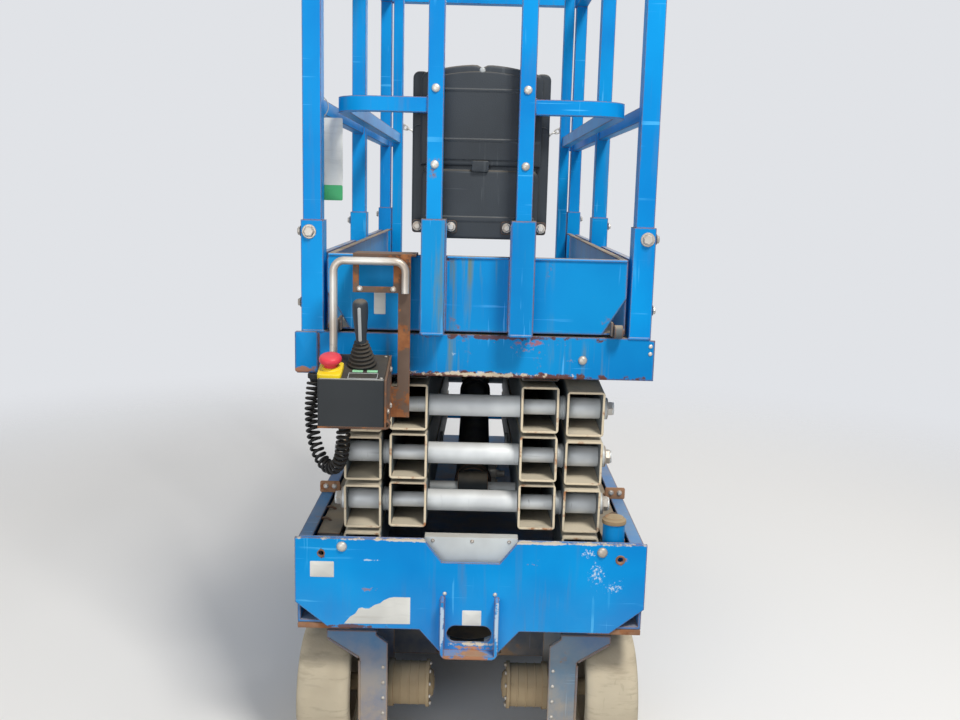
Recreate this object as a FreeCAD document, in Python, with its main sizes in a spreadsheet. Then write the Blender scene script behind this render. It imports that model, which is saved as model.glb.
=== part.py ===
import FreeCAD, Part
import math
import os
import Sketcher

# Narrow electric scissor lift, four scissor levels, stowed.
# Millimetres. X to the right as seen from the front, Y from the front end to the
# entry end, Z up from the floor. Lengths along the machine are measured back from
# the platform's front face, and station() turns them into the part's own Y.

SIZES = (
    # Overall stations
    ("front_reach", 165, "control box ahead of the platform's front face"),
    ("ladder_behind", 63, "ladder's rear face behind the chassis"),
    # Platform
    ("deck_rise", 60, "top of the platform's deck above the top pins"),
    ("deck_behind", 74, "platform's rear edge behind the rear pins"),
    ("deck_side", 23, "platform's sides outside its slide tracks"),
    ("deck_sheet", 4, "deck sheet's thickness"),
    ("beam_tall", 90, "platform's edge beams, height"),
    ("beam_thick", 8, "platform's front and rear beams, thickness"),
    ("beam_ends", 10, "platform's front beam outside its sides"),
    ("side_web", 6, "platform's side beams, web and flange thickness"),
    ("side_flange", 24, "platform's side beams, flange width"),
    # Guard rails
    ("rail_tall", 984, "top of the guard rails above the deck"),
    ("mid_rail_tall", 479, "top of the middle rails above the deck"),
    ("post_wide", 38, "rail posts and top rails, side of the square tube"),
    ("mid_tall", 30, "middle rails, height of the tube"),
    ("mid_wide", 24, "middle rails, depth of the tube"),
    ("socket_tall", 231, "post sockets above the deck"),
    ("socket_wall", 4, "post sockets, wall outside the post"),
    ("rear_post_inset", 40, "rear posts' rear faces ahead of the platform's edge"),
    ("toe_tall", 150, "toe boards above the deck"),
    ("toe_thick", 3, "toe boards, sheet thickness"),
    ("toe_flange", 15, "toe boards, folded top flange"),
    ("entry_gap", 7, "space between the rear posts and the entry posts"),
    ("entry_post", 28, "entry posts and arch, tube width"),
    ("chain_tall", 524, "entry chain's ends above the deck"),
    ("chain_sag", 70, "entry chain's sag"),
    ("chain_radius", 3.5, "entry chain, outer radius"),
    # Extension deck
    ("ext_play", 9, "extension deck's sides inside the rails' sockets"),
    ("ext_short", 330, "extension deck's rear edge ahead of the platform's"),
    ("ext_lift", 6, "extension deck's sheet above the main deck"),
    ("ext_toe_tall", 164, "extension's toe boards, top above the deck"),
    ("ext_toe_flare", 48, "extension's front toe board, width of its sloped lower corners"),
    ("ext_toe_slope", 78, "extension's front toe board, height of its sloped lower corners"),
    ("ext_rail_inset", 19, "extension's side rails inside its deck's edge"),
    ("ext_post_centre", 91, "extension's two front posts from the middle"),
    ("ext_post", 32, "extension's front posts, side of the square tube"),
    ("ext_socket", 50, "extension's post sockets, width"),
    ("ext_socket_tall", 240, "extension's post sockets, top above the deck"),
    ("corner_bend", 60, "extension's rails, bend at the corners"),
    # Scissor stack
    ("arm_long", 1480, "scissor arms, pin to pin"),
    ("arm_tall", 101, "scissor arms, height of the tube"),
    ("arm_wide", 82, "scissor arms, width of the tube"),
    ("arm_wall", 5, "scissor arms, wall"),
    ("arm_round", 8, "scissor arms, outer corner radius"),
    ("arm_end", 50, "scissor arms, tube end beyond its pin"),
    ("inner_gap", 101, "inner arms' inside faces from the middle"),
    ("arm_gap", 17, "space between an inner and an outer arm"),
    ("front_pin", 80, "front pins behind the platform's front face"),
    ("pin_rise", 143, "lowest pins above the chassis' floor"),
    ("row_step", 109.5, "height from one row of pins to the next"),
    ("pin_radius", 17, "scissor pins"),
    ("sleeve_radius", 24, "cross sleeves between the inner arms"),
    ("washer_radius", 26, "washers between the arms"),
    ("pin_play", 0.05, "radial clearance of a running pin"),
    ("open_play", 0.5, "radial clearance at the front pins"),
    ("face_play", 0.5, "side clearance between a washer and an arm"),
    ("pin_cap", 8, "pin caps outside the outer arms"),
    ("pin_nut", 17, "pin nuts outside their caps"),
    ("nut_radius", 14, "pin nuts, radius"),
    ("block_half", 25, "slide rollers, radius"),
    ("block_wide", 40, "slide rollers, width"),
    ("track_gap", 12, "slide rollers outside the outer arms"),
    ("track_play", 2, "clearance above and below the slide rollers"),
    ("track_wall", 8, "slide tracks, plate thickness"),
    ("track_long", 820, "slide tracks' rear end behind the front pins"),
    ("track_lead", 4, "slide tracks' front end ahead of the stowed rollers"),
    ("pivot_plate", 12, "pivot plates, thickness"),
    # Lift cylinder
    ("base_inset", 120, "barrel's base pin along the first inner arm from its front pin"),
    ("eye_pin", 290, "rod's eye along the third inner arm from its rear pin"),
    ("eye_drop", 80, "rod's eye below that arm's middle"),
    ("barrel_radius", 42, "lift cylinder's barrel"),
    ("gland_gap", 122, "barrel's gland short of the rod's eye, stowed"),
    ("rod_radius", 24, "lift cylinder's rod"),
    ("rod_inset", 52, "rod's inner end from the foot of the barrel's bore, stowed"),
    ("eye_radius", 32, "lift cylinder's eye on the rod"),
    ("eye_tube", 14, "cross tube above the rod's eye, radius"),
    ("eye_wide", 50, "lift cylinder's eyes, width"),
    ("base_eye_radius", 40, "lift cylinder's base eye"),
    ("cylinder_pin", 16, "lift cylinder's pins"),
    ("ear_thick", 12, "ears that hold the rod's eye"),
    ("ear_gap", 4, "side clearance between the rod's eye and its ears"),
    # Chassis
    ("chassis_side", 34, "chassis' sides outside its slide tracks"),
    ("chassis_behind", 96, "chassis' rear face behind the rear pins"),
    ("wall", 6, "chassis' plates, thickness"),
    ("wall_tall", 186, "chassis' side walls above its floor"),
    ("beam_deep", 40, "front axle beam's height"),
    ("front_face", 18, "front plate's face ahead of the platform's front face"),
    ("plate_thick", 8, "front plate's thickness"),
    ("plate_over", 4, "front plate's sides outside the chassis"),
    ("plate_rise", 6, "front plate's top above the side walls"),
    ("shoulder_drop", 148, "front plate, start of the lower chamfers below its top"),
    ("plate_foot_half", 308, "front plate, half width at its foot"),
    ("foot_drop", 206, "front plate's foot below its top"),
    ("tab_half", 66, "front plate's tongue, half width at its foot"),
    ("tab_drop", 256, "front plate's tongue, foot below the plate's top"),
    ("tab_flare", 44, "front plate's tongue, spread at its root"),
    ("notch_half", 102, "front plate's notch, half width at the top"),
    ("notch_foot_half", 63, "front plate's notch, half width at its foot"),
    ("notch_drop", 50, "front plate's notch, depth"),
    ("slot_half", 49, "towing slot, half length"),
    ("slot_radius", 20, "towing slot, end radius"),
    ("slot_drop", 215, "towing slot's middle below the plate's top"),
    ("stop_side", 313, "deck stop post from the middle"),
    ("stop_gap", 9, "deck stop post ahead of the stowed rollers"),
    ("stop_radius", 24, "deck stop post, radius"),
    ("stop_over", 44, "deck stop post, top above the front plate"),
    ("stop_pad", 6, "deck stop's pad, thickness"),
    ("tie_hole", 6, "tie-down holes, radius"),
    ("tie_hole_side", 325, "tie-down holes from the middle"),
    ("tie_hole_drop", 35, "tie-down holes below the plate's top"),
    ("strap_half", 63, "strap round the towing slot, half width outside"),
    ("strap_thick", 8, "strap round the towing slot, thickness"),
    ("strap_deep", 30, "strap round the towing slot, depth"),
    ("strap_drop", 128, "strap round the towing slot, top below the plate's top"),
    ("strap_tall", 132, "strap round the towing slot, height"),
    ("bay_clear", 228, "tray bays' front wall behind the front axle"),
    ("bay_gap", 9.5, "tray bays' rear wall ahead of the rear tyres"),
    ("spine_half", 91, "half the width of the spine between the trays"),
    ("spine_foot", 105, "spine's foot"),
    ("bay_over", 2, "bay walls' foot above the pothole guards'"),
    # Wheels and steering
    ("front_axle", 150, "front axle's station"),
    ("axle_inset", 182, "rear axle ahead of the chassis' rear face"),
    ("wheel_radius", 146, "tyres' radius"),
    ("tyre_wide", 118, "tyres' width"),
    ("tyre_proud", 11, "tyres' outer faces outside the chassis"),
    ("shoulder_side", 22, "tyres' shoulders, across"),
    ("shoulder_deep", 13, "tyres' shoulders, down"),
    ("tyre_deep", 47.5, "tyres' depth from tread to rim"),
    ("rim_play", 0.2, "clearance between tyre and rim"),
    ("rim_wall", 6, "rims, wall"),
    ("disc_thick", 14, "rims' discs, thickness"),
    ("disc_inset", 40, "rims' discs behind the tyres' outer faces"),
    ("hub_radius", 42, "hubs' radius"),
    ("hub_proud", 22, "hubs ahead of the discs"),
    ("spindle_radius", 20, "spindles' radius"),
    ("king_inset", 23, "king pins inside the yokes' outboard sides"),
    ("king_radius", 22, "king pins' radius"),
    ("yoke_leg", 64, "steering yokes' legs, width"),
    ("yoke_clear", 22, "clearance between a tyre and its yoke's leg"),
    ("yoke_foot", 62, "steering yokes' foot"),
    ("yoke_reach", 75, "steering yokes' wings over the tyres, reach"),
    ("tyre_clear", 20, "clearance between a tyre and its yoke's wing"),
    ("yoke_plate", 10, "steering yokes' plates, thickness"),
    ("yoke_half", 98, "half the steering yokes' length"),
    ("beam_play", 8, "front axle beam's foot above the yokes"),
    ("beam_over", 76, "front axle beam's reach beyond the king pins"),
    ("beam_half", 32, "half the front axle beam's length along the machine"),
    ("motor_radius", 55, "wheel motors' radius"),
    ("flange_radius", 46, "wheel motors' flanges outside the yokes, radius"),
    ("flange_thick", 11, "wheel motors' flanges, thickness"),
    ("motor_in", 84, "wheel motors' inboard ends"),
    ("tie_rod_back", 155, "tie rod behind the king pins"),
    ("tie_rod_rise", 24, "tie rod above the yokes' tops"),
    ("tie_rod_radius", 8, "tie rod's radius"),
    ("tie_boss", 15, "tie rod's end bosses, radius"),
    ("tie_pin", 7, "tie rod's pins, radius"),
    ("axle_half", 30, "rear axle, half its square section"),
    # Trays and guards
    ("tray_gap", 6, "trays' covers behind the bays' front walls"),
    ("hinge_space", 12, "trays' covers ahead of the bays' rear walls"),
    ("tray_side_gap", 11, "trays' inboard sides beside the spine"),
    ("tray_rise", 10, "trays' foot above the spine's"),
    ("tray_drop", 14, "trays' top below the chassis' floor sheet"),
    ("tray_floor_inset", 40, "trays' floors behind their covers' front edges, clear as a tray swings"),
    ("hinge_radius", 5, "trays' hinge barrels"),
    ("hinge_pin", 2.5, "trays' hinge pins, radius"),
    ("hinge_inset", 6, "trays' hinges behind their covers"),
    ("hinge_lug", 14, "chassis' hinge lugs, height"),
    ("guard_gap", 7, "pothole guards' top below the trays, raised"),
    ("guard_tall", 48, "pothole guards' height"),
    ("grip_inset", 30, "trays' hand holes behind the floors' front"),
    ("grip_long", 110, "trays' hand holes, length"),
    ("grip_drop", 34, "trays' hand holes below the covers' top"),
    ("grip_tall", 26, "trays' hand holes, height"),
    ("tray_lip", 40, "trays' end walls below the covers' top"),
    ("cell_gap", 8, "space round each battery and round the tank"),
    ("cell_drop", 70, "batteries' cases below the covers' top"),
    ("lid_tall", 12, "batteries' lids, height"),
    ("post_radius", 8, "batteries' terminal posts, radius"),
    ("post_tall", 14, "batteries' terminal posts, height"),
    ("pump_gap", 40, "pump's motor ahead of the tray's rear wall"),
    ("tank_drop", 60, "oil tank below the cover's top"),
    ("tank_cap", 22, "oil tank's cap, radius"),
    ("pump_block", 100, "pump's manifold, length"),
    ("pump_wide", 120, "pump's manifold, width"),
    ("pump_tall", 150, "pump's manifold, top above the tray's foot"),
    ("pump_radius", 58, "pump's motor, radius"),
    ("pump_long", 240, "pump's motor, length"),
    ("guard_inset", 32, "pothole guards' inboard side inside the chassis' sides"),
    ("guard_play", 0.5, "clearance between the guards and the bay walls"),
    # Controls and manual box
    ("box_left", 307, "control box, left side from the middle"),
    ("box_wide", 131, "control box, width"),
    ("box_drop", 74, "control box's foot below the platform's front beam"),
    ("box_tall", 94, "control box, height of its front face"),
    ("box_slope", 32, "control box, rise of its panel"),
    ("box_deep", 108, "control box, depth"),
    ("bracket_thick", 4, "control box's bracket, sheet thickness"),
    ("hoop_radius", 8, "hoop guard's tube"),
    ("hoop_drop", 2, "hoop guard's top below the toe board's"),
    ("hoop_bend", 22, "hoop guard's bends"),
    ("manual_half", 140, "manual box, half width"),
    ("manual_rise", 200, "manual box's foot above the deck"),
    ("manual_tall", 352, "manual box's height"),
    ("manual_deep", 88, "manual box, depth"),
    ("manual_seam", 140, "manual box's seam above its foot"),
    ("manual_groove", 7, "manual box's seam, height and depth"),
    ("pod_foot", 12, "manual box's lower side pods above its foot"),
    ("pod_tall", 218, "manual box's lower side pods, height"),
    ("ear_tall", 140, "manual box's upper side pods, height"),
    ("ear_below", 18, "manual box's upper side pods below its top"),
    ("pod_round", 14, "manual box's side pods, corner radius"),
    ("cord_radius", 14, "curly cord, outer radius of its coil"),
    ("hose_radius", 6.5, "drive hose, radius"),
)


class Dim:
    """A size as expression text for the document, with its present value beside it."""

    def __init__(self, text, value):
        self.text = text
        self.value = value

    def __add__(self, other):
        return combine(self, "+", other)

    def __radd__(self, other):
        return combine(other, "+", self)

    def __sub__(self, other):
        return combine(self, "-", other)

    def __rsub__(self, other):
        return combine(other, "-", self)

    def __mul__(self, other):
        return combine(self, "*", other)

    def __rmul__(self, other):
        return combine(other, "*", self)

    def __truediv__(self, other):
        return combine(self, "/", other)

    def __neg__(self):
        return combine(0, "-", self)


def as_dim(number):
    return number if isinstance(number, Dim) else Dim(f"{number:g}", float(number))


def combine(left, sign, right):
    left, right = as_dim(left), as_dim(right)
    value = {
        "+": left.value + right.value,
        "-": left.value - right.value,
        "*": left.value * right.value,
        "/": left.value / right.value if right.value else 0.0,
    }[sign]
    return Dim(f"({left.text} {sign} {right.text})", value)


def sine(angle):
    return Dim(f"sin({angle.text})", math.sin(math.radians(angle.value)))


def cosine(angle):
    return Dim(f"cos({angle.text})", math.cos(math.radians(angle.value)))


def root(square):
    return Dim(f"sqrt({square.text})", math.sqrt(square.value))


def turn_of(rise, run):
    """Angle in degrees whose tangent is rise over run."""
    return Dim(f"atan2({rise.text}; {run.text})", math.degrees(math.atan2(rise.value, run.value)))


doc = FreeCAD.newDocument("ScissorLift")
sheet = doc.addObject("Spreadsheet::Sheet", "Sizes")
for row, (alias, number, meaning) in enumerate(SIZES, start=1):
    sheet.set(f"A{row}", meaning)
    sheet.set(f"B{row}", str(number))
    sheet.setAlias(f"B{row}", alias)
doc.recompute()


class Sheet:
    """Each alias of the sheet as an attribute that holds a Dim."""


s = Sheet()
for alias, _, _ in SIZES:
    setattr(s, alias, Dim(f"Sizes.{alias}", float(sheet.get(alias))))

LEVELS = 4
pockets = []
nodes = []

# Scissor stack, from the middle outwards and from its front pins back
arm_reach = root(s.arm_long * s.arm_long - s.row_step * s.row_step)
tilt = turn_of(s.row_step, arm_reach)
rear_pin = s.front_pin + arm_reach
inner_out = s.inner_gap + s.arm_wide
outer_in = inner_out + s.arm_gap
outer_out = outer_in + s.arm_wide
block_in = outer_out + s.track_gap
block_out = block_in + s.block_wide
track_out = block_out + s.track_play + s.track_wall
s.track_end = s.front_pin + s.track_long
s.base_pin = s.arm_long - s.base_inset

# Widths and lengths that follow the stack's
s.deck_half = track_out + s.deck_side
s.deck_long = rear_pin + s.deck_behind
s.chassis_half = track_out + s.chassis_side
s.chassis_back = rear_pin + s.chassis_behind
s.ladder_reach = s.chassis_back + s.ladder_behind
middle = (s.ladder_reach - s.front_reach) / 2

# Wheels, steering and the chassis' floor above them
s.tyre_outside = s.chassis_half + s.tyre_proud
tyre_inside = s.tyre_outside - s.tyre_wide
s.rim_radius = s.wheel_radius - s.tyre_deep
s.yoke_out = tyre_inside - s.yoke_clear
s.yoke_in = s.yoke_out - s.yoke_leg
s.yoke_wing = s.yoke_out + s.yoke_reach
s.king_side = s.yoke_out - s.king_inset
s.yoke_top = s.wheel_radius * 2 + s.tyre_clear + s.yoke_plate
s.tie_rod_height = s.yoke_top + s.tie_rod_rise
s.beam_foot = s.yoke_top + s.beam_play
s.beam_side = s.king_side + s.beam_over
floor_low = s.beam_foot + s.beam_deep
s.floor_top = floor_low + s.wall
s.rear_axle = s.chassis_back - s.axle_inset

# Tray bays, trays and pothole guards
s.bay_front = s.front_axle + s.bay_clear
s.bay_back = s.rear_axle - s.wheel_radius - s.bay_gap
s.tray_front = s.bay_front + s.wall + s.tray_gap
s.tray_back = s.bay_back - s.wall - s.hinge_space
s.tray_floor_front = s.tray_front + s.tray_floor_inset
s.hinge_back = s.tray_back + s.hinge_inset
s.tray_in = s.spine_half + s.tray_side_gap
s.tray_foot = s.spine_foot + s.tray_rise
s.tray_top = floor_low - s.tray_drop
s.guard_in = s.chassis_half - s.guard_inset
s.guard_top = s.tray_foot - s.guard_gap
s.guard_foot = s.guard_top - s.guard_tall
s.bay_wall_half = s.chassis_half - s.wall
s.bay_wall_foot = s.guard_foot + s.bay_over

# Front plate, measured down from its top
s.wall_top = s.floor_top + s.wall_tall
s.plate_top = s.wall_top + s.plate_rise
s.plate_half = s.chassis_half + s.plate_over
s.plate_shoulder = s.plate_top - s.shoulder_drop
s.plate_foot = s.plate_top - s.foot_drop
s.tab_foot = s.plate_top - s.tab_drop
s.notch_foot = s.plate_top - s.notch_drop
s.slot_height = s.plate_top - s.slot_drop
s.tie_hole_height = s.plate_top - s.tie_hole_drop
s.strap_top = s.plate_top - s.strap_drop
s.strap_foot = s.strap_top - s.strap_tall

# Heights of the platform, its extension and what hangs on them
s.low_pin = s.floor_top + s.pin_rise
s.deck_height = s.low_pin + s.row_step * LEVELS + s.deck_rise
deck_low = s.deck_height - s.deck_sheet
beam_low = s.deck_height - s.beam_tall
rail_top = s.deck_height + s.rail_tall
mid_top = s.deck_height + s.mid_rail_tall
s.rear_post_back = s.deck_long - s.rear_post_inset
s.entry_half = s.deck_half - s.socket_wall - s.post_wide - s.entry_gap - s.entry_post
s.chain_height = s.deck_height + s.chain_tall
s.ext_half = s.deck_half - s.socket_wall * 2 - s.post_wide - s.ext_play
s.ext_long = s.deck_long - s.ext_short
s.ext_toe_top = s.deck_height + s.ext_toe_tall
s.ext_toe_low_half = s.ext_half - s.ext_toe_flare
s.ext_rail_half = s.ext_half - s.ext_rail_inset
s.ext_socket_top = s.deck_height + s.ext_socket_tall
s.box_right = s.box_left - s.box_wide
s.box_foot = beam_low - s.box_drop
s.box_brow = s.box_foot + s.box_tall
s.box_crown = s.box_brow + s.box_slope
s.hoop_top = s.ext_toe_top - s.hoop_drop
s.manual_foot = s.deck_height + s.manual_rise
s.manual_top = s.manual_foot + s.manual_tall


def pin_height(row):
    return s.low_pin + s.row_step * row


def station(along):
    """The part's own Y of a place measured back from the platform's front face."""
    return as_dim(along) - middle


def bind(obj, name, size):
    size = as_dim(size)
    obj.setExpression(name, size.text)


def place(obj, x=0, y=None, z=0):
    """Put an object at x, at a station along the machine and at a height."""
    bind(obj, "Placement.Base.x", x)
    bind(obj, "Placement.Base.y", station(0) if y is None else y)
    bind(obj, "Placement.Base.z", z)


def box(name, x, y, z):
    """A block between two faces along each axis, y being stations."""
    block = doc.addObject("Part::Box", name)
    for prop, (low, high) in zip(("Length", "Width", "Height"), (x, y, z)):
        bind(block, prop, as_dim(high) - low)
    place(block, x[0], station(y[0]), z[0])
    return block


TURNS = {"X": (FreeCAD.Vector(0, 1, 0), 90), "Y": (FreeCAD.Vector(1, 0, 0), -90), "Z": (FreeCAD.Vector(0, 0, 1), 0)}


def bar(name, axis, start, radius, length):
    """A round bar from start along an axis, start's y being a station."""
    cylinder = doc.addObject("Part::Cylinder", name)
    cylinder.Placement = FreeCAD.Placement(FreeCAD.Vector(), FreeCAD.Rotation(*TURNS[axis]))
    bind(cylinder, "Radius", radius)
    bind(cylinder, "Height", length)
    place(cylinder, start[0], station(start[1]), start[2])
    return cylinder


def fuse(name, pieces):
    joined = doc.addObject("Part::MultiFuse", name)
    joined.Shapes = pieces
    return joined


def group(name, pieces):
    """Pieces of one node that stay separate solids."""
    together = doc.addObject("Part::Compound", name)
    together.Links = pieces
    return together


def cut(name, base, tools):
    tool = tools[0] if len(tools) == 1 else fuse(name + "Tools", tools)
    result = doc.addObject("Part::Cut", name)
    result.Base = base
    result.Tool = tool
    return result


def mirror(obj):
    """The same piece on the other side of the machine."""
    twin = doc.addObject("Part::Mirroring", obj.Name + "Twin")
    twin.Source = obj
    twin.Normal = FreeCAD.Vector(1, 0, 0)
    return twin


def pair(name, obj):
    return group(name, [obj, mirror(obj)])


def plane_of(body, role):
    return next(feature for feature in body.Origin.OriginFeatures if feature.Role == role)


def outline_sketch(body, name, role, loops, circles=()):
    """A sketch of closed polygons and circles whose places are bound to the sheet."""
    sketch = body.newObject("Sketcher::SketchObject", name)
    sketch.AttachmentSupport = [(plane_of(body, role), "")]
    sketch.MapMode = "FlatFace"
    first = 0
    for loop in loops:
        points = [(as_dim(u), as_dim(v)) for u, v in loop]
        count = len(points)
        corners = [FreeCAD.Vector(u.value, v.value, 0) for u, v in points]
        lines = [Part.LineSegment(corners[i], corners[(i + 1) % count]) for i in range(count)]
        sketch.addGeometry(lines, False)
        sketch.addConstraint([
            Sketcher.Constraint("Coincident", first + i, 2, first + (i + 1) % count, 1)
            for i in range(count)
        ])
        for i, (u, v) in enumerate(points):
            pin_point(sketch, first + i, 1, u, v)
        first += count
    for u, v, radius in circles:
        u, v, radius = as_dim(u), as_dim(v), as_dim(radius)
        centre = FreeCAD.Vector(u.value, v.value, 0)
        sketch.addGeometry(Part.Circle(centre, FreeCAD.Vector(0, 0, 1), radius.value), False)
        index = sketch.addConstraint(Sketcher.Constraint("Radius", first, radius.value))
        sketch.setExpression(f"Constraints[{index}]", radius.text)
        pin_point(sketch, first, 3, u, v)
        first += 1
    return sketch


def pin_point(sketch, geometry, end, u, v):
    for kind, size in (("DistanceX", u), ("DistanceY", v)):
        index = sketch.addConstraint(Sketcher.Constraint(kind, -1, 1, geometry, end, size.value))
        sketch.setExpression(f"Constraints[{index}]", size.text)


def prism(name, role, loops, length, holes=()):
    """A sheet or block with a drawn outline, padded from its plane, with round holes."""
    body = doc.addObject("PartDesign::Body", name)
    sketch = outline_sketch(body, name + "Outline", role, loops)
    pad = body.newObject("PartDesign::Pad", name + "Pad")
    pad.Profile = sketch
    bind(pad, "Length", length)
    if holes:
        drill(body, name, role, (), holes)
    return body


def drill(body, name, role, loops, circles=()):
    """A pocket through the whole body, both ways from its plane."""
    sketch = outline_sketch(body, name + "Cut" + role[:2], role, loops, circles)
    pocket = body.newObject("PartDesign::Pocket", name + "Pocket" + role[:2])
    pocket.Profile = sketch
    pocket.Type = "ThroughAll"
    pocket.Midplane = True
    pockets.append((body, pocket))


def turned(name, profile, axis="X", angle=360):
    """A turned piece: profile points are (along the axis, out from it)."""
    body = doc.addObject("PartDesign::Body", name)
    loop = profile if axis == "X" else [(out, along) for along, out in profile]
    sketch = outline_sketch(body, name + "Profile", "XZ_Plane", [loop])
    revolution = body.newObject("PartDesign::Revolution", name + "Turn")
    revolution.Profile = sketch
    revolution.ReferenceAxis = (sketch, ["H_Axis" if axis == "X" else "V_Axis"])
    revolution.Angle = angle
    return body


def round_edges(body, name, radius, corners, along):
    """Round the edges that run along an axis through the given corners of the outline."""
    doc.recompute()
    base = body.Tip
    names = []
    for index, edge in enumerate(base.Shape.Edges, start=1):
        ends = [vertex.Point for vertex in edge.Vertexes]
        if len(ends) != 2 or abs(getattr((ends[1] - ends[0]), along)) < 1e-6:
            continue
        flat = [[getattr(end, key) for key in "xyz" if key != along] for end in ends]
        for u, v in corners:
            spot = (as_dim(u).value, as_dim(v).value)
            if all(math.dist(spot, each) < 1e-3 for each in flat):
                names.append(f"Edge{index}")
    fillet = body.newObject("PartDesign::Fillet", name + "Round")
    fillet.Base = (base, names)
    bind(fillet, "Radius", radius)
    return body


def rectangle(x, z):
    return [(x[0], z[0]), (x[1], z[0]), (x[1], z[1]), (x[0], z[1])]


def node(label, obj):
    """Name a finished sub-part: its label is its file's name."""
    obj.Label = label
    nodes.append(obj)
    return obj


def chassis_frame():
    """Welded tub: walls, floor, spine, bay walls, slide tracks and rear pivot plates."""
    wall_in = s.chassis_half - s.wall
    front = -s.front_face + s.plate_thick
    wall = box("ChassisWall", (wall_in, s.chassis_half), (front, s.chassis_back), (floor_low, s.wall_top))
    lip = box("ChassisLip", (wall_in - s.side_flange, wall_in),
              (front, s.chassis_back), (s.wall_top - s.wall, s.wall_top))
    floor = box("ChassisFloor", (-wall_in, wall_in), (front, s.chassis_back), (floor_low, s.floor_top))
    king_hole = bar("KingHole", "Z", (s.king_side, s.front_axle, floor_low - 1),
                    s.king_radius + s.pin_play, s.wall + 2)
    floor = cut("ChassisFloorCut", floor, [king_hole, mirror(king_hole)])
    back = box("ChassisBack", (-wall_in, wall_in), (s.chassis_back - s.wall, s.chassis_back),
               (s.spine_foot * 2, floor_low))
    spine = box("ChassisSpine", (s.spine_half - s.wall, s.spine_half), (s.bay_front, s.bay_back),
                (s.spine_foot, floor_low))
    sole = box("ChassisSole", (-s.spine_half, s.spine_half), (s.bay_front, s.bay_back),
               (s.spine_foot, s.spine_foot + s.wall))
    bays = []
    for name, front_side in (("Front", s.bay_front), ("Rear", s.bay_back - s.wall)):
        faces = (front_side, front_side + s.wall)
        bays.append(box(f"Bay{name}", (s.spine_half, s.guard_in - s.side_flange), faces,
                        (s.spine_foot, floor_low)))
        bays.append(box(f"BayGuide{name}", (s.guard_in - s.side_flange, s.bay_wall_half), faces,
                        (s.bay_wall_foot, floor_low)))
    track = channel("ChassisTrack", pin_height(0), s.floor_top, -1)
    plate = box("ChassisPivot", (block_in, block_in + s.pivot_plate),
                (rear_pin - s.arm_end, rear_pin + s.arm_end), (s.floor_top, s.low_pin + s.arm_tall / 2))
    hinge_side = s.chassis_half - s.hinge_radius
    hinge_foot, hinge_top = s.tray_foot + s.hinge_lug, s.tray_top - s.hinge_lug
    lugs = []
    for name, low in (("Low", hinge_foot - s.hinge_lug), ("High", hinge_top)):
        lugs.append(bar(f"HingeLug{name}", "Z", (hinge_side, s.hinge_back, low), s.hinge_radius, s.hinge_lug))
        lugs.append(box(f"HingeFoot{name}", (hinge_side - s.hinge_radius, hinge_side),
                        (s.hinge_back, s.bay_back - s.wall), (low, low + s.hinge_lug)))
    hinge_pin = bar("HingePin", "Z", (hinge_side, s.hinge_back, hinge_foot - s.hinge_lug / 2), s.hinge_pin,
                    hinge_top - hinge_foot + s.hinge_lug)
    hole = bar("ChassisPivotHole", "X", (block_in - 1, rear_pin, s.low_pin),
               s.pin_radius + s.pin_play, s.pivot_plate + 2)
    plate = cut("ChassisPivotPlate", plate, [hole])
    beam = box("FrontBeam", (-s.beam_side, s.beam_side),
               (s.front_axle - s.beam_half, s.front_axle + s.beam_half), (s.beam_foot, floor_low))
    bush = bar("FrontBeamBush", "Z", (s.king_side, s.front_axle, s.beam_foot - 1),
               s.king_radius + s.pin_play, floor_low - s.beam_foot + 2)
    beam = cut("FrontBeamCut", beam, [bush, mirror(bush)])
    stop_at = (s.stop_side, s.front_pin - s.block_half - s.stop_gap - s.stop_radius, s.floor_top)
    stop_top = s.plate_top + s.stop_over
    post = bar("DeckStop", "Z", stop_at, s.stop_radius, stop_top - s.floor_top)
    pad = bar("DeckStopPad", "Z", stop_at, s.stop_radius - s.stop_pad, stop_top + s.stop_pad - s.floor_top)

    def weld(label, name, centred, sided):
        node(label, fuse(name, centred + sided + [mirror(each) for each in sided]))

    weld("chassis_tub", "ChassisTub", [floor, back, beam, post, pad], [wall, lip])
    weld("chassis_spine", "ChassisSpineFrame", [sole], [spine, hinge_pin] + bays + lugs)
    weld("chassis_tracks", "ChassisTracks", [], [track, plate])


def channel(name, height, support, toward):
    """C-shaped slide track round the path of a pair of rollers, its web carried on to its support.

    toward is -1 where the support lies below the rollers and 1 where it lies above.
    """
    shelf_in = s.block_half + s.track_play
    shelf_out = shelf_in + s.track_wall
    web_in = block_out + s.track_play
    web_out = web_in + s.track_wall
    near_in, near_out = height + toward * shelf_in, height + toward * shelf_out
    far_in, far_out = height - toward * shelf_in, height - toward * shelf_out
    loop = [
        (block_in, near_out), (web_in, near_out), (web_in, support), (web_out, support),
        (web_out, far_out), (block_in, far_out), (block_in, far_in), (web_in, far_in),
        (web_in, near_in), (block_in, near_in),
    ]
    body = prism(name, "XZ_Plane", [loop], s.track_end - s.front_pin + s.block_half + s.track_lead)
    place(body, 0, station(s.track_end), 0)
    return body


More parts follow.
